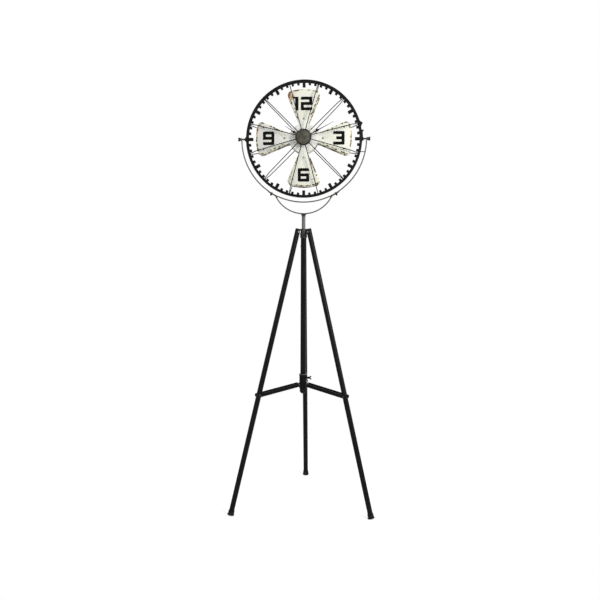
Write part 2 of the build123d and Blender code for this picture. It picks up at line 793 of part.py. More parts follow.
def numerals():
    """Raised 12, 3, 6 and 9 on the blades of one face."""
    two = ("top", "upper_right", "middle", "lower_left", "bottom")
    three = ("top", "upper_right", "short_middle", "lower_right", "bottom")
    six = ("top", "upper_left", "middle", "lower_left", "lower_right", "bottom")
    nine = ("top", "upper_left", "upper_right", "middle", "lower_right", "bottom")
    pair_shift = (one_width + digit_gap) / 2
    top_distance = blade_tip_radius - top_numeral_inset
    side_distance = blade_tip_radius - side_numeral_inset
    bottom_distance = blade_tip_radius - bottom_numeral_inset
    places = [
        (-(digit_width + digit_gap) / 2, top_distance, one_digit()),
        (pair_shift, top_distance, block_digit(two)),
        (side_distance, 0, block_digit(three)),
        (0, -bottom_distance, block_digit(six)),
        (-side_distance, 0, block_digit(nine)),
    ]
    return [Pos(x, y, blade_face_depth) * extrude(digit, numeral_thickness) for x, y, digit in places]


def hub_drum():
    """Housing between the blade sheets, with a window below for the batteries."""
    shell = tube(drum_radius, drum_radius - drum_wall, -blade_back_depth, blade_back_depth)
    window = Pos(0, -drum_radius, 0) * Box(drum_window_width, drum_radius, drum_window_depth)
    return shell - window


def blade_spacers():
    """Tubes that hold the two blade sheets apart, one behind each blade's root."""
    bore_radius = blade_screw_radius + running_clearance
    spacer = tube(spacer_radius, bore_radius, -blade_back_depth, blade_back_depth)
    spacer = Pos(blade_root_distance, 0, 0) * spacer
    return [Rot(0, 0, index * 360 / blade_count) * spacer for index in range(blade_count)]


def blade_screws():
    """Pan-head screws into both ends of the spacers."""
    head_end = blade_face_depth + blade_screw_head_height
    screw = rod(blade_screw_radius, blade_face_depth - blade_screw_length, blade_face_depth)
    screw += cone(blade_screw_head_radius, blade_screw_radius, blade_face_depth, head_end)
    screws = []
    for index in range(blade_count):
        placed = Rot(0, 0, index * 360 / blade_count) * Pos(blade_root_distance, 0, 0) * screw
        screws += [placed, Rot(0, 180, 0) * placed]
    return screws


def wire_guard():
    """Twelve bent wires on a hub plate, with the standoffs that carry the blades."""
    foot_depth = half_ring_depth - track_thickness
    path = FilletPolyline(
        (wire_inner_radius, 0, wire_inner_depth),
        (wire_shoulder_radius, 0, wire_shoulder_depth),
        (wire_foot_radius + track_thickness, 0, foot_depth),
        radius=wire_bend_radius,
    )
    wire = sweep((path ^ 0) * Circle(wire_radius), path=path)
    slope = (wire_inner_depth - wire_shoulder_depth) / (wire_shoulder_radius - wire_inner_radius)
    standoff_end = wire_inner_depth - slope * (standoff_distance - wire_inner_radius)
    standoff = Pos(standoff_distance, 0, 0) * rod(standoff_radius, blade_face_depth, standoff_end)
    guard = rod(cap_radius, guard_plate_depth - hub_plate_thickness, guard_plate_depth)
    for index in range(wire_count):
        angle = wire_first_angle + index * 360 / wire_count
        over_blade = round(angle - wire_first_angle) % 90 == 0 or round(angle + wire_first_angle) % 90 == 0
        spoke = wire + standoff if over_blade else wire
        guard += Rot(0, 0, angle) * spoke
    return guard - rod(ring_outer_radius, 0, half_ring_depth)


def dome_solid(radius, front_depth, edge_drop):
    """Solid disc from the guard's plate forward with a gently domed front."""
    sphere_radius = (radius**2 + edge_drop**2) / (2 * edge_drop)
    dome = Pos(0, 0, front_depth - sphere_radius) * Sphere(sphere_radius)
    return dome & rod(radius, guard_plate_depth, front_depth)


def hub_cap(guard):
    """Domed cover over the wires' inner ends, notched where they leave it."""
    shell = dome_solid(cap_radius, cap_front_depth, cap_edge_drop)
    shell -= dome_solid(cap_radius - cap_wall, cap_front_depth - cap_wall, cap_edge_drop)
    return shell - guard


def movement():
    """Sealed quartz movement with its threaded bushing and an open battery bay below."""
    depth = blade_back_depth - movement_back_depth
    body = Pos(0, 0, movement_back_depth) * Box(movement_width, movement_width, depth, align=upright)
    bay_depth = movement_back_depth + depth / 2
    bay = Pos(0, -battery_offset, bay_depth) * along_x(rod(bay_radius, -bay_length / 2, bay_length / 2))
    bay += Pos(0, -battery_offset, bay_depth) * Box(
        bay_length, movement_width, 2 * bay_radius, align=(Align.CENTER, Align.MAX, Align.CENTER)
    )
    body += rod(bushing_radius, blade_back_depth, blade_face_depth + bushing_reach)
    body -= rod(hour_tube_radius + running_clearance, hour_tube_bottom_depth, 2 * blade_face_depth)
    return body - rod(arbor_radius + 2 * running_clearance, 0, blade_face_depth) - bay


def battery():
    """Dry cell lying across the movement's bay."""
    bay_depth = (movement_back_depth + blade_back_depth) / 2
    half_length = (battery_length + battery_nub_length) / 2
    cell = rod(battery_radius, -half_length, half_length - battery_nub_length)
    cell += rod(battery_nub_radius, half_length - battery_nub_length, half_length)
    return Pos(0, -battery_offset, bay_depth) * along_x(cell)


def shaft_nut():
    """Hexagon nut that clamps the blade sheet on the bushing."""
    nut = hexagon(shaft_nut_radius, blade_face_depth, blade_face_depth + shaft_nut_height)
    return nut - rod(bushing_radius, 0, 2 * blade_face_depth)


def hand_outline(length, spade_distance, spade_width, spade_length):
    """Thin hand along +Y with a pointed spade part way and a long fine tip."""
    stem = hand_stem_width / 2
    right_side = [
        (stem, 0),
        (stem, spade_distance - spade_length / 2),
        (spade_width / 2, spade_distance),
        (stem, spade_distance + spade_length / 2),
        (hand_tip_width / 2, length),
    ]
    left_side = [(-x, y) for x, y in reversed(right_side)]
    return make_face(Polyline(*right_side, *left_side, close=True)) + Circle(hand_boss_radius)


def clock_hand(outline, angle, depth, bore_radius):
    """Flat hand turned clockwise from twelve, bored for its tube or arbor."""
    plate = extrude(Rot(0, 0, -angle) * (outline - Circle(bore_radius)), hand_thickness)
    return Pos(0, 0, depth) * plate


def hour_hand(angle):
    """Short hand at an angle from twelve."""
    spade = (hour_spade_distance, hour_spade_width, hour_spade_length)
    outline = hand_outline(hour_hand_length, *spade)
    return clock_hand(outline, angle, hour_hand_depth, hour_tube_radius)


def minute_hand(angle):
    """Long hand at an angle from twelve."""
    spade = (minute_spade_distance, minute_spade_width, minute_spade_length)
    outline = hand_outline(minute_hand_length, *spade)
    return clock_hand(outline, angle, minute_hand_depth, arbor_radius)


def hour_tube():
    """Hollow shaft that carries the hour hand."""
    bore_radius = arbor_radius + running_clearance
    return tube(hour_tube_radius, bore_radius, hour_tube_bottom_depth, hour_tube_top_depth)


def minute_arbor():
    """Arbor with the setting wheel behind the movement and the nut in front of the minute hand."""
    wheel_start = movement_back_depth - set_wheel_thickness
    hand_front = minute_hand_depth + hand_thickness
    arbor = rod(arbor_radius, wheel_start, hand_front + hand_nut_height / 2)
    arbor += rod(set_wheel_radius, wheel_start, movement_back_depth - running_clearance)
    nut = cone(hand_nut_radius, arbor_radius, hand_front, hand_front + hand_nut_height)
    return [arbor, nut - arbor]


def pivot_boss(side):
    """Tapered boss on the hoop around a tilt stud, with a strap and tab up the ring on the right side."""
    boss_end = ring_outer_radius + pivot_boss_height
    boss = along_x(cone(pivot_boss_radius, pivot_boss_tip_radius, ring_inner_radius, boss_end))
    boss &= Box(3 * ring_outer_radius, 3 * ring_outer_radius, pivot_boss_depth)
    if side > 0:
        strap_radius = ring_outer_radius + strap_thickness
        tab_start_angle = strap_end_angle - tab_angle
        boss += ring_sector(ring_inner_radius, strap_radius, strap_depth, 0, strap_end_angle)
        boss += ring_sector(
            ring_outer_radius, strap_radius + tab_height, strap_depth, tab_start_angle, strap_end_angle
        )
    boss -= rod(ring_outer_radius, -ring_depth, ring_depth)
    boss -= along_x(rod(pivot_stud_radius, 0, 2 * ring_outer_radius))
    return boss if side > 0 else Rot(0, 180, 0) * boss


def pivot_stud(side):
    """Stud from inside the hoop out through the yoke's eyelet, with its thread left out."""
    stud_end = wing_nut_seat_radius + nut_hub_length + pivot_stud_end_length
    stud = rod(pivot_stud_radius, ring_inner_radius - pivot_stud_head_height, stud_end)
    head = rod(pivot_stud_head_radius, ring_inner_radius - 2 * pivot_stud_head_height, ring_inner_radius)
    placed = along_x(stud) + (along_x(head) & rod(ring_inner_radius, -ring_depth, ring_depth))
    return placed if side > 0 else Rot(0, 180, 0) * placed


def guard_clip():
    """Clip over the hoop at the wire above three o'clock, with a pointed catch outside."""
    outer_radius = ring_outer_radius + clip_thickness
    half_angle = math.degrees(clip_width / 2 / ring_outer_radius)
    depth = ring_depth + 2 * clip_thickness
    start_angle = clip_angle - half_angle
    end_angle = clip_angle + half_angle
    clip = ring_sector(ring_outer_radius - clip_grip, outer_radius, depth, start_angle, end_angle)
    clip -= rod(ring_outer_radius, -half_ring_depth, half_ring_depth)
    point = make_face(
        Polyline(
            (outer_radius - clip_thickness / 2, -clip_width / 2),
            (outer_radius + clip_point_height, 0),
            (outer_radius - clip_thickness / 2, clip_width / 2),
            close=True,
        )
    )
    catch = extrude(Rot(0, 0, clip_angle) * point, half_ring_depth / 2, both=True)
    return clip + (catch - rod(ring_outer_radius, -ring_depth, ring_depth))


def tilt_stop_peg():
    """Peg welded on the hoop's lower right, which rests against the yoke when the dial is upright."""
    front_shift = yoke_rod_radius + peg_radius + side_clearance
    peg = Pos(0, -peg_drop, front_shift) * along_x(rod(peg_radius, peg_root_distance, peg_tip_distance))
    return peg - rod(ring_inner_radius + hoop_thickness / 2, -ring_depth, ring_depth)


# Assembly: every node by name, in the column's frame

for name, direction in leg_angles.items():
    nodes["leg_tube_" + name] = leg_place(direction) * leg_tube()
    nodes["leg_plug_" + name] = leg_place(direction) * leg_plug()
    nodes["foot_" + name] = leg_place(direction) * foot() - floor_trim()
    nodes["spreader_arm_" + name] = arm_place(direction) * spreader_arm()
    nodes["spreader_rivets_" + name] = [arm_place(direction) * rivet for rivet in spreader_rivets()]

nodes["tripod_head"] = tripod_head()
nodes["tripod_bolts"] = [set_screw()] + [
    facing(direction) * Pos(leg_hinge_radius, 0, leg_hinge_height) * hinge_bolt()
    for direction in leg_angles.values()
]
nodes["column_tube"] = column_tube()
nodes["column_end_cap"] = column_end_cap()
nodes["spreader_sleeve"] = spreader_sleeve()
nodes["sleeve_pins"] = [facing(direction) * sleeve_pin() for direction in leg_angles.values()]
nodes["sleeve_wing_screw"] = facing(sleeve_screw_direction) * Pos(0, 0, sleeve_screw_height) * hand_screw(
    column_radius + running_clearance, sleeve_knob_start_radius
)
nodes["mast_thumb_screw"] = facing(thumb_screw_direction) * Pos(0, 0, thumb_screw_height) * hand_screw(
    post_radius + running_clearance, thumb_knob_start_radius
)
nodes["mast_post"] = mast_post()
nodes["mast_bush"] = mast_bush()

nodes["yoke_rod"] = front_place * yoke_rod()
nodes["lower_bow"] = front_place * lower_bow()
nodes["bow_bolts"] = [front_place * piece for piece in bow_bolts()]
nodes["bow_saddle"] = bow_saddle() - nodes["lower_bow"]

nodes["dial_hoop"] = front_place * (dial_hoop() + tilt_stop_peg())
nodes["hub_drum"] = front_place * hub_drum()
nodes["blade_spacers"] = [front_place * spacer for spacer in blade_spacers()]
nodes["blade_screws"] = [front_place * screw for screw in blade_screws()]
nodes["batteries"] = [front_place * battery(), rear_place * battery()]
nodes["shaft_nuts"] = [front_place * shaft_nut(), rear_place * shaft_nut()]
guard_shape = wire_guard()
cap_shape = hub_cap(guard_shape)
hand_angles = {
    "front": (front_hour_hand_angle, front_minute_hand_angle),
    "rear": (rear_hour_hand_angle, rear_minute_hand_angle),
}
for face, place in {"front": front_place, "rear": rear_place}.items():
    nodes[face + "_minute_track"] = place * minute_track()
    nodes[face + "_blades"] = place * blades()
    nodes[face + "_numerals"] = [place * digit for digit in numerals()]
    nodes[face + "_wire_guard"] = place * guard_shape
    nodes[face + "_hub_cap"] = place * cap_shape
    nodes[face + "_movement"] = place * movement()
    nodes[face + "_hour_tube"] = place * hour_tube()
    hour_angle, minute_angle = hand_angles[face]
    nodes[face + "_hour_hand"] = place * hour_hand(hour_angle)
    nodes[face + "_minute_arbor"] = [place * piece for piece in minute_arbor()]
    nodes[face + "_minute_hand"] = place * minute_hand(minute_angle)

nodes["pivot_bosses"] = [front_place * pivot_boss(side) for side in (-1, 1)]
nodes["tilt_studs"] = [front_place * pivot_stud(side) for side in (-1, 1)]
for name, side in {"left": -1, "right": 1}.items():
    turn = 0 if side > 0 else 180
    seat = front_place * Rot(0, turn, 0) * Pos(wing_nut_seat_radius, 0, 0)
    nodes["wing_nut_" + name] = seat * wing_nut()
nodes["guard_clip"] = front_place * guard_clip()

# The column stands off the origin, so that the three feet's box is centred on it
front_reach = -nodes["foot_left"].bounding_box().min.Y
rear_reach = nodes["foot_rear"].bounding_box().max.Y
column_y = (front_reach - rear_reach) / 2

os.makedirs("parts", exist_ok=True)
for name, shape in nodes.items():
    solids = shape if isinstance(shape, list) else [shape]
    placed = Pos(0, column_y, 0) * Compound(children=[solid for piece in solids for solid in piece.solids()])
    export_step(placed, "parts/" + name + ".step")
print("nodes", len(nodes), "column_y", round(column_y, 3), "leg tilt", round(leg_tilt, 3))
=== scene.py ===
import json
import logging
import math
import random
from dataclasses import dataclass, field
from enum import Enum
from functools import cache, cached_property
from typing import Sequence

import bmesh
import bpy
from mathutils import Matrix, Vector, noise


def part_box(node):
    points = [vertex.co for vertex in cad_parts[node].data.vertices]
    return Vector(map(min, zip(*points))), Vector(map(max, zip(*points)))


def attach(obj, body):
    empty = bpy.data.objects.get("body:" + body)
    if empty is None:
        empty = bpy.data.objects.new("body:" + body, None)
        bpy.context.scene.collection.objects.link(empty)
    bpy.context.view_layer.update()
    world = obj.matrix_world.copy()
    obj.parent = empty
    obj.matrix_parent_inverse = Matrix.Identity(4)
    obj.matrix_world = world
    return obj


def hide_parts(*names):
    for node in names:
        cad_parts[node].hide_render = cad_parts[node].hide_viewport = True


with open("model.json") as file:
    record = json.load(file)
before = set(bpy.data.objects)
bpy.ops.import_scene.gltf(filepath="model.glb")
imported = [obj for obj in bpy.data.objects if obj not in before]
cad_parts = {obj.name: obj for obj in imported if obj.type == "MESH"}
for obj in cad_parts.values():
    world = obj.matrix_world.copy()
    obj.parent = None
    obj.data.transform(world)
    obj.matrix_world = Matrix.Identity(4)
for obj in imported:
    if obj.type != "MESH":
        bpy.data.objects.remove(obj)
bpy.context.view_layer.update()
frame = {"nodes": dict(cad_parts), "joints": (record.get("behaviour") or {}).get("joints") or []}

logging.basicConfig(level=logging.INFO, format="%(message)s")
log = logging.getLogger("tripod_clock")

# Lengths are metres. The dial faces -Y, and the feet stand on z = 0.
Colour = tuple[float, float, float]
Point = tuple[float, float, float]
Profile = Sequence[tuple[float, float]]
Socket = bpy.types.NodeSocket
Surface = dict[str, Socket | float]

MERGE_DISTANCE = 1e-6
SHARP_ANGLE = math.radians(34)
FLAT_ANGLE = math.radians(0.6)
UPWARD = 0.8
HEX_CHAMFER = 0.0006
FINE_PITCH = 0.0007
COARSE_PITCH = 0.0008


class Face(Enum):
    """The two faces of the dial, with their outward direction along Y."""

    FRONT = -1
    REAR = 1

    @property
    def word(self) -> str:
        """The word that this face's nodes start with."""
        return self.name.lower()


class Leg(Enum):
    """The three legs of the tripod."""

    LEFT = "left"
    RIGHT = "right"
    REAR = "rear"


def middle(node: str) -> Vector:
    """The centre of a CAD node's box."""
    low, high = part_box(node)
    return (low + high) / 2


def joint_line(name: str) -> tuple[Vector, Vector]:
    """The place of one of the frame's joints and the direction of its axis."""
    joint = next(joint for joint in frame["joints"] if joint["name"] == name)
    return Vector(joint["pos_m"]), Vector(joint["axis"])


COLUMN = middle("column_tube")
HUB = Vector((COLUMN.x, COLUMN.y, middle("front_minute_track").z))


def dial_place(face: Face) -> Matrix:
    """Placement of a face's own frame: x across, y up and z towards its viewer.

    Args:
        face: The face of the dial.

    Returns:
        The matrix from that frame to the row frame.
    """
    place = Matrix.Translation(HUB) @ Matrix.Rotation(math.radians(90), 4, "X")
    if face is Face.REAR:
        place = place @ Matrix.Rotation(math.pi, 4, "Y")
    return place


def aim(start: Vector, direction: Vector) -> Matrix:
    """Placement at a point whose +Z runs along a direction."""
    return Matrix.Translation(start) @ direction.to_track_quat("Z", "Y").to_matrix().to_4x4()


def polar(radius: float, degrees: float, height: float) -> Matrix:
    """Placement at a distance from Z, an angle about it and a height, with +X outward."""
    return Matrix.Rotation(math.radians(degrees), 4, "Z") @ Matrix.Translation((radius, 0.0, height))


def show(name: str, data: bpy.types.ID) -> bpy.types.Object:
    """Makes an object of a mesh, lamp or camera and links it to the scene.

    Args:
        name: The object's name.
        data: What it shows.

    Returns:
        The object.
    """
    made = bpy.data.objects.new(name, data)
    bpy.context.scene.collection.objects.link(made)
    return made


# Node trees

class Board:
    """Short calls that add and join the nodes of a material, the world or a group."""

    def __init__(self, tree: bpy.types.NodeTree) -> None:
        """Takes the tree that the nodes go into."""
        self.tree = tree

    @cached_property
    def place(self) -> Socket:
        """Object coordinates, added the first time that they are read."""
        return self.add("ShaderNodeTexCoord").outputs["Object"]

    def feed(self, socket: Socket, value: Socket | float | Sequence[float]) -> None:
        """Links a socket to another, or sets its constant.

        Args:
            socket: The input.
            value: An output socket, or the constant.
        """
        if isinstance(value, Socket):
            self.tree.links.new(value, socket)
        else:
            socket.default_value = value

    def add(self, kind: str, *values: Socket | float | Sequence[float], **settings: object) -> bpy.types.Node:
        """Adds a node.

        Args:
            kind: The node's type name.
            values: What its first inputs get, in their order.
            settings: Properties of the node to set.

        Returns:
            The new node.
        """
        node = self.tree.nodes.new(kind)
        for name, value in settings.items():
            setattr(node, name, value)
        for socket, value in zip(node.inputs, values):
            self.feed(socket, value)
        return node

    def fill(self, node: bpy.types.Node, values: Surface) -> bpy.types.Node:
        """Feeds a node's inputs by their names.

        Args:
            node: The node.
            values: What each named input gets.

        Returns:
            The node.
        """
        for name, value in values.items():
            self.feed(node.inputs[name], value)
        return node

    def math(self, operation: str, *values: Socket | float) -> Socket:
        """The result of a math node."""
        return self.add("ShaderNodeMath", *values, operation=operation).outputs[0]

    def step(self, value: Socket, low: Socket | float, high: Socket | float) -> Socket:
        """Smooth step of a value from 0 at low to 1 at high, which may be the other way round."""
        node = self.add("ShaderNodeMapRange", value, low, high, 0.0, 1.0, interpolation_type="SMOOTHSTEP")
        return node.outputs[0]

    def span(self, value: Socket, low: float, high: float) -> Socket:
        """A 0 to 1 value spread evenly from low to high."""
        return self.math("MULTIPLY_ADD", value, high - low, low)

    def mix(self, share: Socket, first: Socket | Colour, second: Socket | Colour) -> Socket:
        """Mixes two colours.

        Args:
            share: How much of the second shows.
            first: A colour or socket.
            second: A colour or socket.

        Returns:
            The mixed colour's socket.
        """
        node = self.add("ShaderNodeMix", share, data_type="RGBA")
        for socket, value in ((node.inputs[6], first), (node.inputs[7], second)):
            self.feed(socket, value if isinstance(value, Socket) else (*value, 1.0))
        return node.outputs[2]

    def noise(
        self, scale: Socket | float, detail: float = 3.0, rough: float = 0.55, place: Socket | None = None,
    ) -> Socket:
        """The value of a noise texture, with its scale in features to the metre."""
        values = {"Vector": place or self.place, "Scale": scale, "Detail": detail, "Roughness": rough}
        return self.fill(self.add("ShaderNodeTexNoise"), values).outputs[0]

    def parts(self, place: Socket) -> list[Socket]:
        """The X, Y and Z of a place."""
        return list(self.add("ShaderNodeSeparateXYZ", place).outputs)

    def from_hub(self) -> Socket:
        """The place counted from the dial's hub."""
        return self.add("ShaderNodeMapping", self.place, -HUB).outputs[0]

    def over_dial(self) -> tuple[Socket, Socket, Socket]:
        """Where the place lies on the dial.

        Returns:
            The distances right of the hub, above it and from it.
        """
        across, _, up = self.parts(self.from_hub())
        squares = self.math("MULTIPLY_ADD", up, up, self.math("MULTIPLY", across, across))
        return across, up, self.math("SQRT", squares)

    def group(self, tree: bpy.types.NodeTree, **values: Socket | float) -> bpy.types.NodeOutputs:
        """Adds a shared group, feeds its place and other inputs and gives its outputs."""
        node = self.add("ShaderNodeGroup", node_tree=tree)
        return self.fill(node, {"Place": self.place, **values}).outputs

    def relief(self, height: Socket, depth: float, strength: float = 1.0) -> Socket:
        """The normal of a 0 to 1 height that stands for a real depth."""
        values = {"Strength": strength, "Distance": depth, "Height": height}
        return self.fill(self.add("ShaderNodeBump"), values).outputs[0]


def fresh_board(owner: bpy.types.Material | bpy.types.World) -> Board:
    """Empties a material's or world's node tree and gives its board.

    Args:
        owner: The material or world.

    Returns:
        The board.
    """
    owner.use_nodes = True
    owner.node_tree.nodes.clear()
    return Board(owner.node_tree)


def new_group(
    name: str, inputs: dict[str, float], outputs: Sequence[str],
) -> tuple[Board, bpy.types.NodeOutputs, bpy.types.Node]:
    """Starts a shared shader group with a Place vector and float sockets.

    Args:
        name: The group's name.
        inputs: Default value of each float input.
        outputs: Names of the float outputs.

    Returns:
        The group's board, what its inputs give by name, and its output node.
    """
    tree = bpy.data.node_groups.new(name, "ShaderNodeTree")
    tree.interface.new_socket(name="Place", in_out="INPUT", socket_type="NodeSocketVector")
    for label, value in inputs.items():
        made = tree.interface.new_socket(name=label, in_out="INPUT", socket_type="NodeSocketFloat")
        made.default_value = value
    for label in outputs:
        tree.interface.new_socket(name=label, in_out="OUTPUT", socket_type="NodeSocketFloat")
    board = Board(tree)
    taken = board.add("NodeGroupInput").outputs
    board.place = taken["Place"]
    return board, taken, board.add("NodeGroupOutput")


@cache
def grain_group() -> bpy.types.NodeTree:
    """Fine orange peel of paint or plastic, with a broad tone that wanders over the piece.

    Returns:
        The group, which puts out Tone and Height.
    """
    board, taken, leave = new_group("fine_grain", {"Scale": 900.0, "Drift": 14.0}, ("Tone", "Height"))
    fine = board.noise(taken["Scale"], detail=2.0)
    pores = board.noise(board.math("MULTIPLY", taken["Scale"], 2.7), detail=1.0)
    drift = board.noise(taken["Drift"], detail=4.0, rough=0.6)
    tone = board.math("MULTIPLY_ADD", fine, 0.35, board.math("MULTIPLY", drift, 0.65))
    height = board.math("MULTIPLY_ADD", pores, 0.4, board.math("MULTIPLY", fine, 0.6))
    board.fill(leave, {"Tone": board.step(tone, 0.32, 0.68), "Height": height})
    return board.tree


@cache
def patches_group() -> bpy.types.NodeTree:
    """Ragged patches where a coat is chipped, stained or rubbed.

    Returns:
        The group, which puts out Mask and Raw.
    """
    inputs = {"Scale": 60.0, "Cover": 0.2, "Soft": 0.04}
    board, taken, leave = new_group("ragged_patches", inputs, ("Mask", "Raw"))
    broad = board.noise(taken["Scale"], detail=5.0, rough=0.62)
    sharp = board.noise(board.math("MULTIPLY", taken["Scale"], 5.3))
    raw = board.math("MULTIPLY_ADD", sharp, 0.3, board.math("MULTIPLY", broad, 0.7))
    edge = board.math("SUBTRACT", 0.72, board.math("MULTIPLY", taken["Cover"], 0.44))
    low = board.math("SUBTRACT", edge, taken["Soft"])
    high = board.math("ADD", edge, taken["Soft"])
    board.fill(leave, {"Mask": board.step(raw, low, high), "Raw": raw})
    return board.tree


# Finishes

@dataclass(frozen=True)
class Finish:
    """A named surface finish, made into one material the first time that it is used."""

    name: str
    record_slot: str

    @cache
    def material(self) -> bpy.types.Material:
        """Makes the finish's material.

        Returns:
            The material.
        """
        made = bpy.data.materials.new("finish_" + self.name)
        board = fresh_board(made)
        shader = board.fill(board.add("ShaderNodeBsdfPrincipled"), self.dress(board))
        board.add("ShaderNodeOutputMaterial", shader.outputs[0])
        return made

    def dress(self, board: Board) -> Surface:
        """Adds the finish's nodes; each kind of finish has its own."""
        raise NotImplementedError


@dataclass(frozen=True)
class Paint(Finish):
    """Satin paint or powder coat on steel, mottled, with rubbed patches."""

    colour: Colour = (0.003, 0.003, 0.0028)
    faded: Colour = (0.007, 0.0067, 0.0062)
    rubbed: Colour = (0.026, 0.024, 0.021)
    cover: float = 0.06
    patch_scale: float = 70.0
    patch_blend: float = 0.03
    grain_scale: float = 1100.0
    grain_depth: float = 0.00006
    smooth: float = 0.34
    rough: float = 0.48
    specular: float = 0.12

    def dress(self, board: Board) -> Surface:
        """Mixes the fresh, faded and rubbed colours and sets the orange peel.

        Args:
            board: The material's board.

        Returns:
            What the shader's inputs get.
        """
        grain = board.group(grain_group(), Scale=self.grain_scale)
        patch = board.group(patches_group(), Scale=self.patch_scale, Cover=self.cover, Soft=self.patch_blend)
        body = board.mix(grain["Tone"], self.colour, self.faded)
        return {
            "Base Color": board.mix(patch["Mask"], body, self.rubbed),
            "Roughness": board.span(grain["Tone"], self.smooth, self.rough),
            "Normal": board.relief(grain["Height"], self.grain_depth),
            "Specular IOR Level": self.specular,
        }


# On the head casting and the sleeve, the bare metal is a painted highlight; on the bow it is blackened
# plates.
@dataclass(frozen=True)
class PaintWithMetalEnd(Paint):
    """Paint that ends in bare or blackened metal beyond a plane, below it if the blend is negative."""

    bare: Colour = (0.16, 0.155, 0.145)
    axis: int = 2
    start: float = 0.0
    blend: float = 0.0012
    ragged_scale: float = 500.0

    def dress(self, board: Board) -> Surface:
        """Adds the metal over the paint.

        Args:
            board: The material's board.

        Returns:
            What the shader's inputs get.
        """
        surface = super().dress(board)
        ragged = board.noise(self.ragged_scale)
        level = board.math("MULTIPLY_ADD", ragged, 2 * self.blend, self.start - self.blend)
        bare = board.step(board.parts(board.place)[self.axis], level, board.math("ADD", level, self.blend))
        # For the head and the sleeve this metal is a painted highlight.
        wear_and_highlight = board.mix(bare, surface["Base Color"], self.bare)
        return surface | {"Base Color": wear_and_highlight, "Metallic": bare}


@dataclass(frozen=True)
class OldSteel(Finish):
    """Bare or blackened steel of the fasteners, with rust in its pits."""

    bright: Colour
    dull: Colour
    rust: Colour = (0.11, 0.045, 0.018)
    cover: float = 0.18
    patch_scale: float = 260.0
    patch_blend: float = 0.05
    grain_scale: float = 2600.0
    drift_scale: float = 120.0
    depth: float = 0.00008

    def dress(self, board: Board) -> Surface:
        """Mixes dull and bright metal, with rust that isn't metallic.

        Args:
            board: The material's board.

        Returns:
            What the shader's inputs get.
        """
        grain = board.group(grain_group(), Scale=self.grain_scale, Drift=self.drift_scale)
        patch = board.group(patches_group(), Scale=self.patch_scale, Cover=self.cover, Soft=self.patch_blend)
        metal = board.mix(grain["Tone"], self.dull, self.bright)
        return {
            "Base Color": board.mix(patch["Mask"], metal, self.rust),
            "Metallic": board.span(patch["Mask"], 0.95, 0.05),
            "Roughness": board.span(patch["Raw"], 0.2, 0.72),
            "Normal": board.relief(grain["Height"], self.depth),
        }


@dataclass(frozen=True)
class HammeredPatina(Finish):
    """Hammered sheet with a dark brown-grey patina that is lighter on the high spots, and painted shade at
    its rim.
    """

    high: Colour = (0.075, 0.072, 0.055)
    low: Colour = (0.024, 0.022, 0.017)
    verdigris: Colour = (0.1, 0.098, 0.076)
    # rim is painted shade: the cap darkens to it towards the rolled rim.
    rim: Colour = (0.004, 0.0036, 0.003)
    rim_shade_radius: float = 0.0262
    rim_shade_wander: float = 0.003
    rim_shade_blend: float = 0.0016
    mottle_scale: float = 190.0
    grain_scale: float = 2400.0
    drift_scale: float = 60.0
    depth: float = 0.0004

    def dress(self, board: Board) -> Surface:
        """Mottles the patina and paints shade on it towards the cap's rim.

        Args:
            board: The material's board.

        Returns:
            What the shader's inputs get.
        """
        radius = board.over_dial()[2]
        mottle = board.noise(self.mottle_scale, detail=5.0, rough=0.7)
        grain = board.group(grain_group(), Scale=self.grain_scale, Drift=self.drift_scale)
        body = board.mix(board.step(mottle, 0.36, 0.64), self.low, self.high)
        body = board.mix(board.step(grain["Tone"], 0.62, 0.95), body, self.verdigris)
        # Painted shade towards the rolled rim.
        start = self.rim_shade_radius - self.rim_shade_wander / 2
        edge = board.math("MULTIPLY_ADD", mottle, self.rim_shade_wander, start)
        dark = board.step(radius, edge, board.math("ADD", edge, self.rim_shade_blend))
        return {
            "Base Color": board.mix(dark, body, self.rim),
            "Roughness": board.span(mottle, 0.38, 0.72),
            "Normal": board.relief(mottle, self.depth, 0.6),
            "Metallic": 0.2,
            "Specular IOR Level": 0.2,
        }


RUST_ORANGE = (0.42, 0.2, 0.055)
RUST_DARK = (0.075, 0.03, 0.014)
RUST_RED = (0.33, 0.085, 0.05)
RUST_TAN = (0.42, 0.34, 0.17)
DIRT_OLIVE = (0.06, 0.055, 0.03)
CHIP_BROWN = (0.045, 0.02, 0.009)
CHIP_OLIVE = (0.03, 0.028, 0.014)


@dataclass(frozen=True)
class Stain:
    """A rusty or dirty streak on the enamel, with its lean in degrees."""

    across: float
    up: float
    half_length: float
    half_width: float
    lean: float
    colour: Colour
    strength: float

    def mask(self, board: Board, across: Socket, up: Socket, ragged: Socket) -> Socket:
        """Where the stain shows.

        Args:
            board: The material's board.
            across: Distance right of the hub.
            up: Distance above the hub.
            ragged: Noise that breaks up the stain's edge.

        Returns:
            The mask's socket.
        """
        turn = math.radians(self.lean)
        right = board.math("SUBTRACT", across, self.across)
        above = board.math("SUBTRACT", up, self.up)
        cos_right = board.math("MULTIPLY", right, math.cos(turn) / self.half_length)
        along = board.math("MULTIPLY_ADD", above, math.sin(turn) / self.half_length, cos_right)
        sin_right = board.math("MULTIPLY", right, -math.sin(turn) / self.half_width)
        beside = board.math("MULTIPLY_ADD", above, math.cos(turn) / self.half_width, sin_right)
        squares = board.math("MULTIPLY_ADD", beside, beside, board.math("MULTIPLY", along, along))
        reach = board.math("MULTIPLY_ADD", ragged, 2.6, board.math("MULTIPLY", squares, -0.9))
        return board.math("MULTIPLY", board.step(reach, 0.75, 1.35), self.strength)


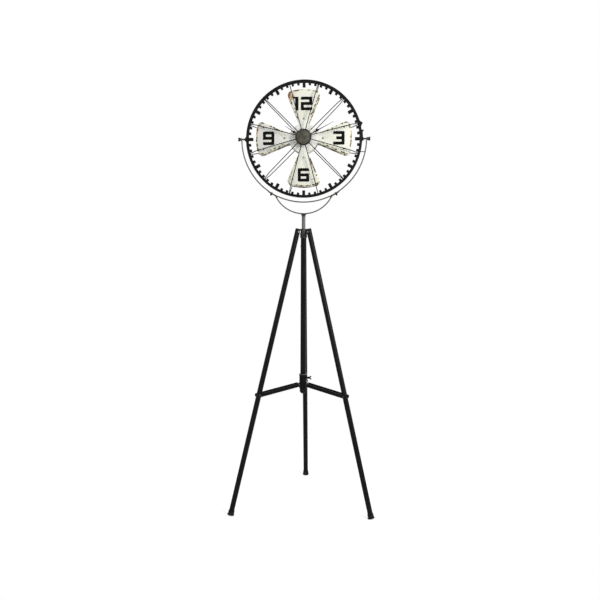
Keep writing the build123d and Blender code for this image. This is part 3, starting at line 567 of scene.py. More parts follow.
STAINS = (
    Stain(-0.053, 0.157, 0.03, 0.022, 60.0, RUST_ORANGE, 0.9),
    Stain(-0.057, 0.166, 0.013, 0.007, 50.0, RUST_DARK, 0.7),
    Stain(-0.03, 0.182, 0.03, 0.006, 10.0, RUST_ORANGE, 0.6),
    Stain(0.034, 0.181, 0.032, 0.005, -12.0, RUST_ORANGE, 0.45),
    Stain(0.031, 0.076, 0.012, 0.004, 66.0, RUST_DARK, 0.9),
    Stain(0.183, 0.016, 0.045, 0.0035, 90.0, RUST_RED, 0.8),
    Stain(0.06, -0.027, 0.009, 0.004, -22.0, RUST_DARK, 0.8),
    Stain(0.036, -0.105, 0.034, 0.0062, -67.0, RUST_DARK, 1.0),
    Stain(0.033, -0.098, 0.017, 0.003, -67.0, RUST_ORANGE, 0.6),
    Stain(-0.093, 0.029, 0.026, 0.0045, -20.0, DIRT_OLIVE, 1.0),
    Stain(-0.177, 0.03, 0.03, 0.006, 80.0, RUST_RED, 0.7),
    Stain(-0.168, 0.05, 0.014, 0.008, 30.0, RUST_DARK, 0.7),
    Stain(0.0, -0.182, 0.05, 0.004, 0.0, RUST_DARK, 0.6),
)


@dataclass(frozen=True)
class AgedEnamel(Finish):
    """Off-white enamel on the blades, chipped to dark rust along their edges."""

    ground: Colour = (0.68, 0.69, 0.6)
    # grey is painted shade, mixed in towards the left of the hub.
    grey: Colour = (0.62, 0.625, 0.59)
    cream: Colour = (0.72, 0.68, 0.52)
    # pale is partly the disc's own whiter enamel and partly painted light that lifts the cap's shadow round
    # the hub.
    pale: Colour = (0.78, 0.78, 0.75)
    speck: Colour = (0.3, 0.3, 0.25)
    broad_scale: float = 22.0
    ragged_scale: float = 150.0
    fine_scale: float = 620.0
    speck_scale: float = 330.0
    left_shade_start: float = 0.04
    left_shade_end: float = -0.13
    left_shade_wander: float = 0.06
    cream_width: float = 0.012
    pale_start: float = 0.085
    pale_end: float = 0.045
    tip_radius: float = 0.185
    disc_radius: float = 0.056
    root_distance: float = 0.0736
    root_half_width: float = 0.026
    flare: float = 0.4215
    corner_blend: float = 0.016
    chip_inset: float = 0.0034
    chip_scale: float = 85.0
    chip_spread: float = 0.032
    chip_limit: float = 0.0028
    chip_blend: float = 0.0005
    halo_width: float = 0.003
    whole_blend: float = 0.01
    whole_inset: float = 0.004
    depth: float = 0.0006

    def edge_distance(self, board: Board, across: Socket, up: Socket, radius: Socket) -> Socket:
        """Distance inward from the blades' outline.

        Args:
            board: The material's board.
            across: Distance right of the hub.
            up: Distance above the hub.
            radius: Distance from the hub.

        Returns:
            The distance's socket.
        """
        wide = board.math("ABSOLUTE", across)
        tall = board.math("ABSOLUTE", up)
        along = board.math("MAXIMUM", wide, tall)
        aside = board.math("MINIMUM", wide, tall)
        width_at_hub = self.root_half_width - self.flare * self.root_distance
        half_width = board.math("MULTIPLY_ADD", along, self.flare, width_at_hub)
        lean = math.cos(math.atan(self.flare))
        side = board.math("MULTIPLY", board.math("SUBTRACT", half_width, aside), lean)
        tip = board.math("SUBTRACT", self.tip_radius, radius)
        blade = board.math("SMOOTH_MIN", side, tip, self.corner_blend)
        return board.math("MAXIMUM", blade, board.math("SUBTRACT", self.disc_radius, radius))

    def chip_reach(self, board: Board, radius: Socket) -> Socket:
        """How far the chips spread from the worn line inside the outline, less on the middle disc.

        Args:
            board: The material's board.
            radius: Distance from the hub.

        Returns:
            The reach's socket, which is below 0 where nothing is chipped.
        """
        wander = board.noise(self.chip_scale, detail=4.0, rough=0.6)
        spread = board.math("MULTIPLY_ADD", wander, self.chip_spread, -0.5 * self.chip_spread)
        wear_and_highlight = board.math("MINIMUM", spread, self.chip_limit)
        whole = board.step(radius, self.root_distance + self.whole_blend, self.disc_radius)
        return board.math("MULTIPLY_ADD", whole, -self.whole_inset, wear_and_highlight)

    def dress(self, board: Board) -> Surface:
        """Builds the enamel from its ground outward: painted shade on the left, cream tint, paler enamel and
        painted light round the hub, specks, stains, then chips.

        Args:
            board: The material's board.

        Returns:
            What the shader's inputs get.
        """
        across, up, radius = board.over_dial()
        edge = self.edge_distance(board, across, up, radius)
        broad = board.noise(self.broad_scale, detail=4.0)
        ragged = board.noise(self.ragged_scale, detail=5.0, rough=0.68)
        fine = board.noise(self.fine_scale)
        # Painted shade: the blades turn grey towards the left of the hub, along a wandering line.
        shade_across = board.math("MULTIPLY_ADD", broad, self.left_shade_wander, across)
        specks = board.group(patches_group(), Scale=self.speck_scale, Cover=0.16, Soft=0.05)
        body = board.mix(board.step(shade_across, self.left_shade_start, self.left_shade_end), self.ground, self.grey)
        for shape, strength, colour in (
            (board.step(broad, 0.45, 0.7), 0.4, self.cream),
            (board.step(edge, self.cream_width, 0.0), 0.55, self.cream),
            # Paler round the hub: partly whiter enamel, partly painted light over the cap's shadow.
            (board.step(radius, self.pale_start, self.pale_end), 0.7, self.pale),
            (specks["Mask"], 0.55, self.speck),
        ):
            body = board.mix(board.math("MULTIPLY", shape, strength), body, colour)
        for stain in STAINS:
            body = board.mix(stain.mask(board, across, up, ragged), body, stain.colour)

        fold = board.math("ABSOLUTE", board.math("SUBTRACT", edge, self.chip_inset))
        reach = self.chip_reach(board, radius)
        halo = board.step(fold, board.math("ADD", reach, self.halo_width), reach)
        body = board.mix(board.math("MULTIPLY", halo, 0.4), body, RUST_TAN)
        outer = board.math("ADD", reach, self.chip_blend)
        chipped = board.step(fold, outer, board.math("SUBTRACT", reach, 0.8 * self.chip_blend))
        bare = board.mix(board.step(fine, 0.4, 0.62), CHIP_BROWN, CHIP_OLIVE)
        coat = board.math("MULTIPLY_ADD", chipped, -0.8, board.math("MULTIPLY", fine, 0.12))
        dents = board.math("MULTIPLY_ADD", broad, 1.2, coat)
        return {
            "Base Color": board.mix(chipped, body, bare),
            "Roughness": board.math("MULTIPLY_ADD", chipped, 0.35, board.span(ragged, 0.34, 0.56)),
            "Normal": board.relief(dents, self.depth, 0.8),
            "Specular IOR Level": 0.4,
        }


@dataclass(frozen=True)
class Moulded(Finish):
    """Moulded plastic or rubber, matt where it is rough."""

    colour: Colour
    dusty: Colour
    rough: float = 0.62
    rough_range: float = 0.1
    grain_scale: float = 3200.0
    drift_scale: float = 45.0
    depth: float = 0.00005

    def dress(self, board: Board) -> Surface:
        """Sets a fine moulded grain with a dusty tone.

        Args:
            board: The material's board.

        Returns:
            What the shader's inputs get.
        """
        grain = board.group(grain_group(), Scale=self.grain_scale, Drift=self.drift_scale)
        smooth = self.rough - self.rough_range
        return {
            "Base Color": board.mix(grain["Tone"], self.colour, self.dusty),
            "Roughness": board.span(grain["Height"], smooth, self.rough + self.rough_range),
            "Normal": board.relief(grain["Height"], self.depth),
            "Specular IOR Level": 0.1,
        }


@dataclass(frozen=True)
class TurnedBrass(Finish):
    """Brass with fine turning rings about the dial's axis."""

    bright: Colour = (0.72, 0.52, 0.22)
    dull: Colour = (0.42, 0.29, 0.12)
    ring_scale: Point = (30.0, 5200.0, 30.0)
    tone_scale: float = 240.0
    depth: float = 0.00004

    def dress(self, board: Board) -> Surface:
        """Sets the turning rings along Y.

        Args:
            board: The material's board.

        Returns:
            What the shader's inputs get.
        """
        along = board.fill(board.add("ShaderNodeMapping", board.from_hub()), {"Scale": self.ring_scale})
        rings = board.noise(1.0, detail=2.0, place=along.outputs[0])
        tone = board.noise(self.tone_scale)
        return {
            "Base Color": board.mix(tone, self.dull, self.bright),
            "Roughness": board.span(tone, 0.2, 0.42),
            "Normal": board.relief(rings, self.depth),
            "Metallic": 1.0,
        }


@dataclass(frozen=True)
class CellJacket(Finish):
    """Plain printed jacket of a dry cell: grey with a darker band at one end."""

    body: Colour = (0.3, 0.31, 0.32)
    band: Colour = (0.05, 0.05, 0.055)
    band_start: float = 0.008
    band_blend: float = 0.0004
    grain_scale: float = 1500.0

    def dress(self, board: Board) -> Surface:
        """Paints the band by the distance along the cell.

        Args:
            board: The material's board.

        Returns:
            What the shader's inputs get.
        """
        across = board.parts(board.from_hub())[0]
        banded = board.step(across, self.band_start, self.band_start + self.band_blend)
        grain = board.group(grain_group(), Scale=self.grain_scale)
        jacket = board.mix(banded, self.body, self.band)
        return {
            "Base Color": board.mix(board.math("MULTIPLY", grain["Tone"], 0.15), jacket, self.band),
            "Roughness": board.span(grain["Tone"], 0.25, 0.4),
            "Metallic": 0.4,
        }


SLEEVE_RIM_WIDTH = 0.0018
BOW_PLATE_MARGIN = 0.004
SLEEVE_RIM_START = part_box("spreader_sleeve")[1].z - SLEEVE_RIM_WIDTH
BOW_PLATE_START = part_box("bow_bolts")[0].z - BOW_PLATE_MARGIN
CAST_COAT = {
    "patch_scale": 150.0, "grain_scale": 700.0, "grain_depth": 0.0002,
    "smooth": 0.32, "rough": 0.55, "specular": 0.3,
}
ROD_COAT = {
    "colour": (0.05, 0.049, 0.043), "faded": (0.11, 0.107, 0.094), "rubbed": (0.2, 0.19, 0.165),
    "cover": 0.2, "patch_scale": 90.0, "smooth": 0.28, "rough": 0.45, "specular": 0.5,
}

TUBE_BLACK = Paint("tube_black", "black_tube", patch_scale=46.0, smooth=0.24, rough=0.4, specular=0.08)
RING_BLACK = Paint(
    "ring_black", "ring_black", faded=(0.008, 0.0076, 0.007), rubbed=(0.024, 0.022, 0.018), specular=0.08,
)
CAST_GREY = Paint(
    "cast_grey", "grey_casting", (0.016, 0.0155, 0.013), (0.05, 0.049, 0.042), (0.16, 0.155, 0.135),
    cover=0.24, **CAST_COAT,
)
# The casting's left end turns to pale bare metal: a painted highlight on that lug.
HEAD_PAINT = PaintWithMetalEnd(
    "head_paint", "grey_casting", (0.012, 0.0116, 0.0098), (0.036, 0.0354, 0.03), (0.14, 0.136, 0.118),
    cover=0.2, bare=(0.24, 0.237, 0.225), axis=0, start=-0.0085, blend=-0.004, **CAST_COAT,
)
ROD_GREY = Paint("rod_grey", "rod_grey", **ROD_COAT)
BOW_PAINT = PaintWithMetalEnd("bow_paint", "rod_grey", bare=(0.005, 0.005, 0.0045), start=BOW_PLATE_START, **ROD_COAT)
WIRE_DARK = Paint(
    "wire_dark", "wire_dark", (0.004, 0.0038, 0.0032), (0.01, 0.0092, 0.0076), (0.034, 0.027, 0.018),
    cover=0.16, patch_scale=120.0, specular=0.08,
)
# The sleeve's top rim turns to pale bare metal: a painted highlight along that edge.
SLEEVE_PAINT = PaintWithMetalEnd("sleeve_paint", "sleeve_black", specular=0.08, start=SLEEVE_RIM_START)
HAND_BLACK = Paint(
    "hand_black", "hand_black", (0.003, 0.003, 0.003), (0.006, 0.006, 0.0055), (0.02, 0.018, 0.016),
)
NUMERAL_BLACK = Paint(
    "numeral_black", "numeral_black", (0.002, 0.002, 0.002), (0.005, 0.005, 0.005), (0.06, 0.06, 0.05),
    cover=0.05, patch_scale=330.0, smooth=0.55, rough=0.75, specular=0.06,
)
DARK_STEEL = OldSteel("dark_steel", "hardware", (0.05, 0.048, 0.042), (0.014, 0.013, 0.011))
BOLT_STEEL = OldSteel("bolt_steel", "hardware", (0.19, 0.187, 0.176), (0.08, 0.077, 0.07), cover=0.1)
SCREW_STEEL = OldSteel("screw_steel", "hardware", (0.36, 0.355, 0.33), (0.17, 0.165, 0.15), cover=0.1)
KNOB_STEEL = OldSteel("knob_steel", "hardware", (0.05, 0.047, 0.042), (0.008, 0.0075, 0.0065), cover=0.1)
CAP_PATINA = HammeredPatina("cap_patina", "cap_patina")
BLADE_ENAMEL = AgedEnamel("blade_enamel", "blade_enamel")
BLACK_PLASTIC = Moulded(
    "black_plastic", "black_plastic", (0.003, 0.003, 0.003), (0.009, 0.0087, 0.0083), rough=0.5,
)
FOOT_RUBBER = Moulded("foot_rubber", "foot_rubber", (0.005, 0.005, 0.005), (0.018, 0.0175, 0.017), rough=0.6)
MOVEMENT_PLASTIC = Moulded("movement_plastic", "movement_plastic", (0.03, 0.03, 0.033), (0.06, 0.06, 0.065))
SHAFT_BRASS = TurnedBrass("shaft_brass", "shaft_brass")
CELL_JACKET = CellJacket("cell_jacket", "cell_jacket")


# Shapes

def arc(
    centre_radius: float, centre_height: float, radius: float, start: float, end: float, count: int,
) -> list[tuple[float, float]]:
    """Points of a rounded stretch of a turned profile.

    Args:
        centre_radius: The arc's centre, from the axis.
        centre_height: The arc's centre, along the axis.
        radius: The arc's radius.
        start: First angle in degrees, from outward.
        end: Last angle.
        count: Number of points.

    Returns:
        The points as (radius, height).
    """
    turns = [math.radians(start + (end - start) * index / (count - 1)) for index in range(count)]
    return [
        (centre_radius + radius * math.cos(turn), centre_height + radius * math.sin(turn)) for turn in turns
    ]


def everything(shape: bmesh.types.BMesh) -> list:
    """All vertices, edges and faces of a shape."""
    return shape.verts[:] + shape.edges[:] + shape.faces[:]


def grown_verts(made: dict[str, list]) -> list[bmesh.types.BMVert]:
    """The new vertices that an extrusion put out."""
    return [item for item in made["geom"] if isinstance(item, bmesh.types.BMVert)]


def lathe(profile: Profile, steps: int) -> bmesh.types.BMesh:
    """Turns a profile about Z into a closed shape.

    Args:
        profile: Points as (radius, height), from the axis round to the axis.
        steps: Segments of the full turn.

    Returns:
        The shape.
    """
    shape = bmesh.new()
    corners = [shape.verts.new((radius, 0.0, height)) for radius, height in profile]
    edges = [shape.edges.new(pair) for pair in zip(corners, corners[1:])]
    bmesh.ops.spin(
        shape, geom=corners + edges, cent=(0.0, 0.0, 0.0), axis=(0.0, 0.0, 1.0), dvec=(0.0, 0.0, 0.0),
        angle=math.tau, steps=steps, use_merge=True,
    )
    bmesh.ops.remove_doubles(shape, verts=shape.verts, dist=MERGE_DISTANCE)
    bmesh.ops.dissolve_degenerate(shape, edges=shape.edges, dist=MERGE_DISTANCE / 10)
    bmesh.ops.recalc_face_normals(shape, faces=shape.faces)
    return shape


def pin(radius: float, length: float) -> bmesh.types.BMesh:
    """Plain round pin up from the origin."""
    return lathe([(0.0, 0.0), (radius, 0.0), (radius, length), (0.0, length)], steps=24)


def soften(shape: bmesh.types.BMesh, width: float, segments: int = 2) -> None:
    """Rounds every sharp edge.

    Args:
        shape: The shape.
        width: The rounding's width.
        segments: Faces across the rounding.
    """
    edges = [edge for edge in shape.edges if edge.is_manifold and edge.calc_face_angle() > SHARP_ANGLE]
    bmesh.ops.bevel(
        shape, geom=edges, offset=width, offset_type="OFFSET", segments=segments, profile=0.5,
        affect="EDGES", clamp_overlap=True, material=-1,
    )


def hexagon(corner_radius: float, height: float) -> bmesh.types.BMesh:
    """Hexagonal head or nut from z = 0 up, with a chamfered top.

    Args:
        corner_radius: Distance from the axis to a corner.
        height: The head's height.

    Returns:
        The shape.
    """
    shape = bmesh.new()
    side_height = height - HEX_CHAMFER / 2
    bmesh.ops.create_cone(
        shape, cap_ends=True, cap_tris=False, segments=6, radius1=corner_radius, radius2=corner_radius,
        depth=side_height,
    )
    bmesh.ops.translate(shape, verts=shape.verts, vec=(0.0, 0.0, side_height / 2))
    top = [face for face in shape.faces if face.normal.z > UPWARD]
    bmesh.ops.inset_region(shape, faces=top, thickness=HEX_CHAMFER, depth=0.0)
    bmesh.ops.translate(shape, verts=top[0].verts[:], vec=(0.0, 0.0, HEX_CHAMFER / 2))
    soften(shape, HEX_CHAMFER / 4)
    return shape


def thread(radius: float, start: float, end: float, pitch: float) -> bmesh.types.BMesh:
    """Screw thread as stacked crests with a pointed end.

    Args:
        radius: Radius over the crests.
        start: Where the thread starts along Z.
        end: Where it ends.
        pitch: Distance between crests.

    Returns:
        The shape.
    """
    root = radius - pitch / 2
    count = max(1, round((end - start) / pitch))
    step = (end - start) / count
    profile = [(0.0, start), (root, start)]
    for index in range(count):
        profile += [(radius, start + (index + 0.5) * step), (root, start + (index + 1) * step)]
    return lathe(profile + [(0.0, end)], steps=32)


class Piece:
    """A new piece: shapes placed in the row frame, each with its finish, that stand for CAD nodes."""

    def __init__(self, name: str) -> None:
        """Starts an empty piece.

        Args:
            name: The piece's name.
        """
        self.name = name
        self.whole = bmesh.new()
        self.finishes: list[Finish] = []

    def put(self, shape: bmesh.types.BMesh, place: Matrix, finish: Finish) -> None:
        """Adds a shape to the piece.

        Args:
            shape: The shape, which is used up.
            place: Where it goes.
            finish: What it is finished with.
        """
        if finish not in self.finishes:
            self.finishes.append(finish)
        for face in shape.faces:
            face.material_index = self.finishes.index(finish)
        bmesh.ops.transform(shape, matrix=place, verts=shape.verts)
        carrier = bpy.data.meshes.new("carrier")
        shape.to_mesh(carrier)
        shape.free()
        self.whole.from_mesh(carrier)
        bpy.data.meshes.remove(carrier)

    def put_pin(self, centre: Vector, axis: Vector, reach: float, radius: float, finish: Finish) -> None:
        """Adds a round pin that reaches equally far both ways from a point."""
        self.put(pin(radius, 2 * reach), aim(centre - axis * reach, axis), finish)

    def settle(self, body: str, *nodes: str) -> None:
        """Makes the piece's object, which rides on a body and stands for its nodes.

        Args:
            body: The body's name.
            nodes: The CAD nodes that the piece replaces.
        """
        for edge in self.whole.edges:
            edge.smooth = not edge.is_manifold or edge.calc_face_angle() < SHARP_ANGLE
        for face in self.whole.faces:
            face.smooth = True
        mesh = bpy.data.meshes.new(self.name)
        self.whole.to_mesh(mesh)
        self.whole.free()
        for finish in self.finishes:
            mesh.materials.append(finish.material())
        made = show(self.name, mesh)
        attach(made, body)
        if nodes:
            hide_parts(*nodes)
        log.info("%s: %d faces on %s", self.name, len(mesh.polygons), body)


def dress_node(node: str, finish: Finish) -> None:
    """Gives a CAD node that stays its finish.

    Args:
        node: The node's name.
        finish: The finish.
    """
    for holder in frame["nodes"][node].material_slots:
        holder.link = "OBJECT"
        holder.material = finish.material()
    log.info("%s: finished as %s", node, finish.name)


def carry_over(node: str, finish: Finish, body: str, width: float, segments: int = 2) -> None:
    """Replaces a CAD node by a merged copy of it with rounded edges.

    Args:
        node: The node's name.
        finish: The finish.
        body: The body that it rides on.
        width: Width of the rounding.
        segments: Faces across the rounding.
    """
    shape = bmesh.new()
    shape.from_mesh(frame["nodes"][node].data)
    bmesh.ops.remove_doubles(shape, verts=shape.verts, dist=MERGE_DISTANCE)
    bmesh.ops.dissolve_limit(shape, angle_limit=FLAT_ANGLE, verts=shape.verts, edges=shape.edges)
    soften(shape, width, segments)
    piece = Piece(node + "_eased")
    piece.put(shape, Matrix.Identity(4), finish)
    piece.settle(body, node)


# Fasteners

@dataclass
class HandScrew:
    """Wing-headed screw or nut along +Z, with its seat at z = 0."""

    hub_radius: float = 0.0045
    hub_length: float = 0.006
    neck_radius: float = 0.0031
    shank_radius: float = 0.0025
    lobe_radius: float = 0.0032
    lobe_reach: float = 0.0046
    lobe_rise: float = 0.0064
    wing_thickness: float = 0.0021
    edge: float = 0.0005

    def hub(self) -> bmesh.types.BMesh:
        """Turned hub with a collar at its seat.

        Returns:
            The shape.
        """
        collar = self.hub_length / 5
        profile = [(0.0, 0.0), (self.hub_radius - self.edge, 0.0)]
        profile += arc(self.hub_radius - self.edge, self.edge, self.edge, -90, 0, 4)
        profile += [(self.hub_radius, collar), (self.hub_radius - self.edge, collar + self.edge)]
        profile.append((self.neck_radius, self.hub_length - self.edge))
        profile.append((self.neck_radius - self.edge, self.hub_length))
        return lathe(profile + [(0.0, self.hub_length)], steps=32)

    def wing(self) -> bmesh.types.BMesh:
        """One wing towards +X: a round lobe drawn down into the hub.

        Returns:
            The shape.
        """
        shape = bmesh.new()
        bmesh.ops.create_circle(shape, cap_ends=True, segments=20, radius=self.lobe_radius)
        for vert in shape.verts:
            below = max(0.0, -vert.co.y) / self.lobe_radius
            vert.co.x -= below * (self.lobe_reach - self.neck_radius / 2)
            vert.co.y -= below * (self.lobe_rise - self.lobe_radius - self.wing_thickness / 2)
        made = bmesh.ops.extrude_face_region(shape, geom=shape.faces[:])
        bmesh.ops.translate(shape, verts=grown_verts(made), vec=(0.0, 0.0, self.wing_thickness))
        bmesh.ops.recalc_face_normals(shape, faces=shape.faces)
        soften(shape, self.edge, 3)
        upright = Matrix.Rotation(math.radians(90), 4, "X")
        centring = Matrix.Translation((self.lobe_reach, self.lobe_rise, -self.wing_thickness / 2))
        bmesh.ops.transform(shape, matrix=upright @ centring, verts=shape.verts)
        return shape

    def build(self, piece: Piece, place: Matrix, finish: Finish, shank_length: float) -> None:
        """Puts the hub, the wings above and below it and a threaded shank into a piece.

        Args:
            piece: The piece.
            place: Its seat, with +Z away from what it clamps.
            finish: Its finish.
            shank_length: Length of the shank below the seat, or 0 for a nut.
        """
        piece.put(self.hub(), place, finish)
        for turn in (math.pi / 2, -math.pi / 2):
            piece.put(self.wing(), place @ Matrix.Rotation(turn, 4, "Z"), finish)
        if shank_length:
            piece.put(thread(self.shank_radius, -shank_length, 0.0, COARSE_PITCH), place, finish)


@dataclass
class DomedRivet:
    """Rivet head from z = 0 up."""

    radius: float = 0.0045
    height: float = 0.002

    def build(self) -> bmesh.types.BMesh:
        """Turns the head as a low dome on a short skirt.

        Returns:
            The shape.
        """
        skirt = self.height / 4
        rise = self.height - skirt
        sphere = (self.radius**2 + rise**2) / (2 * rise)
        span = math.degrees(math.asin(self.radius / sphere))
        dome = arc(0.0, self.height - sphere, sphere, 90 - span, 90, 9)
        return lathe([(0.0, 0.0), (self.radius, 0.0)] + dome, steps=32)


@dataclass(frozen=True)
class CrossHead:
    """Low pan head from z = 0 up with a cross of two slots."""

    radius: float
    height: float
    slot_width: float
    slot_depth: float
    slot_share: float = 0.62

    def build(self) -> bmesh.types.BMesh:
        """Turns the head, cuts the cross into its top and sinks it.

        Returns:
            The shape.
        """
        corner = self.height / 2
        profile = [(0.0, 0.0), (self.radius, 0.0), (self.radius, self.height - corner)]
        profile += arc(self.radius - corner, self.height - corner, corner, 15, 90, 6)
        shape = lathe(profile + [(0.0, self.height)], steps=32)
        half = self.slot_width / 2
        for normal in (Vector((1.0, 0.0, 0.0)), Vector((0.0, 1.0, 0.0))):
            for offset in (-half, half):
                bmesh.ops.bisect_plane(
                    shape, geom=everything(shape), plane_co=normal * offset, plane_no=normal,
                    dist=MERGE_DISTANCE,
                )
        reach = self.radius * self.slot_share
        top = []
        for face in shape.faces:
            spot = face.calc_center_median()
            near, far = sorted((abs(spot.x), abs(spot.y)))
            if face.normal.z > UPWARD and near < half and far < reach and spot.length < reach + self.height:
                top.append(face)
        sunk = grown_verts(bmesh.ops.extrude_face_region(shape, geom=top))
        bmesh.ops.delete(shape, geom=top, context="FACES")
        bmesh.ops.translate(shape, verts=sunk, vec=(0.0, 0.0, -self.slot_depth))
        bmesh.ops.recalc_face_normals(shape, faces=shape.faces)
        return shape


# Tripod

@dataclass
class Legs:
    """Three leg tubes with their plugs and feet."""

    foot_circle: float = 0.3074
    hinge_height: float = 1.078
    hinge_radius: float = 0.027
    base_radius: float = 0.0135
    neck_radius: float = 0.0112
    lip_height: float = 0.004
    height: float = 0.017
    bead_radius: float = 0.0007
    cut_depth: float = 0.0012
    waist_height_share: float = 0.45
    waist_width_share: float = 0.3
    plug_edge: float = 0.0008

    def place(self, leg: Leg) -> Matrix:
        """Placement at a leg's lower end with +Z up along the leg.

        Args:
            leg: The leg.

        Returns:
            The placement's matrix.
        """
        hinge, _ = joint_line(leg.value + "_leg_fold")
        turn = math.atan2(hinge.y - COLUMN.y, hinge.x - COLUMN.x)
        tilt = math.atan2(self.foot_circle - self.hinge_radius, self.hinge_height)
        lean = Matrix.Rotation(turn, 4, "Z") @ Matrix.Rotation(-tilt, 4, "Y")
        lift = self.base_radius * math.sin(tilt) - self.cut_depth
        drop = (lift - self.hinge_height) / math.cos(tilt)
        return Matrix.Translation(hinge) @ lean @ Matrix.Translation((0.0, 0.0, drop))

    def foot(self) -> bmesh.types.BMesh:
        """Flared foot with a rolled lip, a groove and a bead at its neck.

        Returns:
            The shape.
        """
        lip = self.lip_height
        roll = lip / 2
        bead = self.bead_radius
        neck_top = self.height - 2 * bead
        waist_height = lip + (neck_top - lip) * self.waist_height_share
        waist_radius = self.neck_radius + (self.base_radius - self.neck_radius) * self.waist_width_share
        profile = [(0.0, 0.0), (self.base_radius - roll, 0.0)]
        profile += arc(self.base_radius - roll, roll, roll, -90, 70, 10)
        profile += [(self.base_radius - roll, lip + bead), (waist_radius, waist_height)]
        profile.append((self.neck_radius, neck_top))
        profile += arc(self.neck_radius, neck_top + bead, bead, -60, 90, 6)
        return lathe(profile + [(0.0, self.height)], steps=64)

    def build(self) -> None:
        """Builds the feet, eases the plugs and paints the tubes."""
        for leg in Leg:
            body = "leg_" + leg.value
            piece = Piece("foot_boot_" + leg.value)
            shape = self.foot()
            bmesh.ops.transform(shape, matrix=self.place(leg), verts=shape.verts)
            cut = bmesh.ops.bisect_plane(
                shape, geom=everything(shape), plane_co=(0, 0, 0), plane_no=(0, 0, -1), clear_outer=True,
                dist=MERGE_DISTANCE,
            )
            rim = [item for item in cut["geom_cut"] if isinstance(item, bmesh.types.BMEdge)]
            bmesh.ops.edgenet_fill(shape, edges=rim)
            bmesh.ops.recalc_face_normals(shape, faces=shape.faces)
            piece.put(shape, Matrix.Identity(4), FOOT_RUBBER)
            piece.settle(body, "foot_" + leg.value)
            carry_over("leg_plug_" + leg.value, BLACK_PLASTIC, body, self.plug_edge, 3)
            dress_node("leg_tube_" + leg.value, TUBE_BLACK)


@dataclass
class Head:
    """Head casting, column, hinge bolts, set screw, thumb screw and end cap."""

    bolt_reach: float = 0.0103
    bolt_head_radius: float = 0.0046
    bolt_head_height: float = 0.0028
    bolt_end: float = 0.0034
    bolt_radius: float = 0.0025
    set_screw: CrossHead = CrossHead(0.0034, 0.0011, 0.0008, 0.0006)
    set_screw_height: float = 1.023
    column_radius: float = 0.0106
    cap_radius: float = 0.013
    casting_edge: float = 0.0006
    thumb_direction: float = -76.0
    thumb_seat: float = 0.0175
    thumb_tip: float = 0.0073
    thumb_height: float = 1.066

    def bolts(self) -> None:
        """Builds the hinge bolts with their nuts, and the set screw."""
        piece = Piece("hinge_bolts")
        for leg in Leg:
            hinge, axis = joint_line(leg.value + "_leg_fold")
            for direction in (axis, -axis):
                seat = aim(hinge + direction * self.bolt_reach, direction)
                piece.put(hexagon(self.bolt_head_radius, self.bolt_head_height), seat, BOLT_STEEL)
            piece.put_pin(hinge, axis, self.bolt_reach, self.bolt_radius, BOLT_STEEL)
            end = thread(self.bolt_radius, 0.0, self.bolt_end, FINE_PITCH)
            piece.put(end, aim(hinge + axis * self.bolt_reach, axis), BOLT_STEEL)
        left = Vector((-1.0, 0.0, 0.0))
        seat = Vector((COLUMN.x - self.column_radius, COLUMN.y, self.set_screw_height))
        piece.put(self.set_screw.build(), aim(seat, left), BOLT_STEEL)
        piece.settle("tripod", "tripod_bolts")

    def end_cap(self) -> None:
        """Builds the ball on the column's lower end, with its collar round the tube."""
        low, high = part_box("column_end_cap")
        ball_height = low.z + self.cap_radius
        top = high.z - ball_height
        start = math.degrees(math.asin(top / self.cap_radius))
        ball = arc(0.0, 0.0, self.cap_radius, -90, start, 22)
        shape = lathe(ball + [(self.column_radius, top), (self.column_radius, 0.0), (0.0, 0.0)], steps=48)
        piece = Piece("column_ball")
        piece.put(shape, Matrix.Translation((COLUMN.x, COLUMN.y, ball_height)), BLACK_PLASTIC)
        piece.settle("tripod", "column_end_cap")

    def thumb_screw(self) -> None:
        """Builds the screw that clamps the post."""
        turn = math.radians(self.thumb_direction)
        outward = Vector((math.cos(turn), math.sin(turn), 0.0))
        seat = Vector((COLUMN.x, COLUMN.y, self.thumb_height)) + outward * self.thumb_seat
        piece = Piece("thumb_screw")
        HandScrew().build(piece, aim(seat, outward), KNOB_STEEL, self.thumb_seat - self.thumb_tip)
        piece.settle("thumb_screw", "mast_thumb_screw")

    def build(self) -> None:
        """Builds the head's pieces and paints the column."""
        carry_over("tripod_head", HEAD_PAINT, "tripod", self.casting_edge, 3)
        dress_node("column_tube", TUBE_BLACK)
        self.bolts()
        self.end_cap()
        self.thumb_screw()


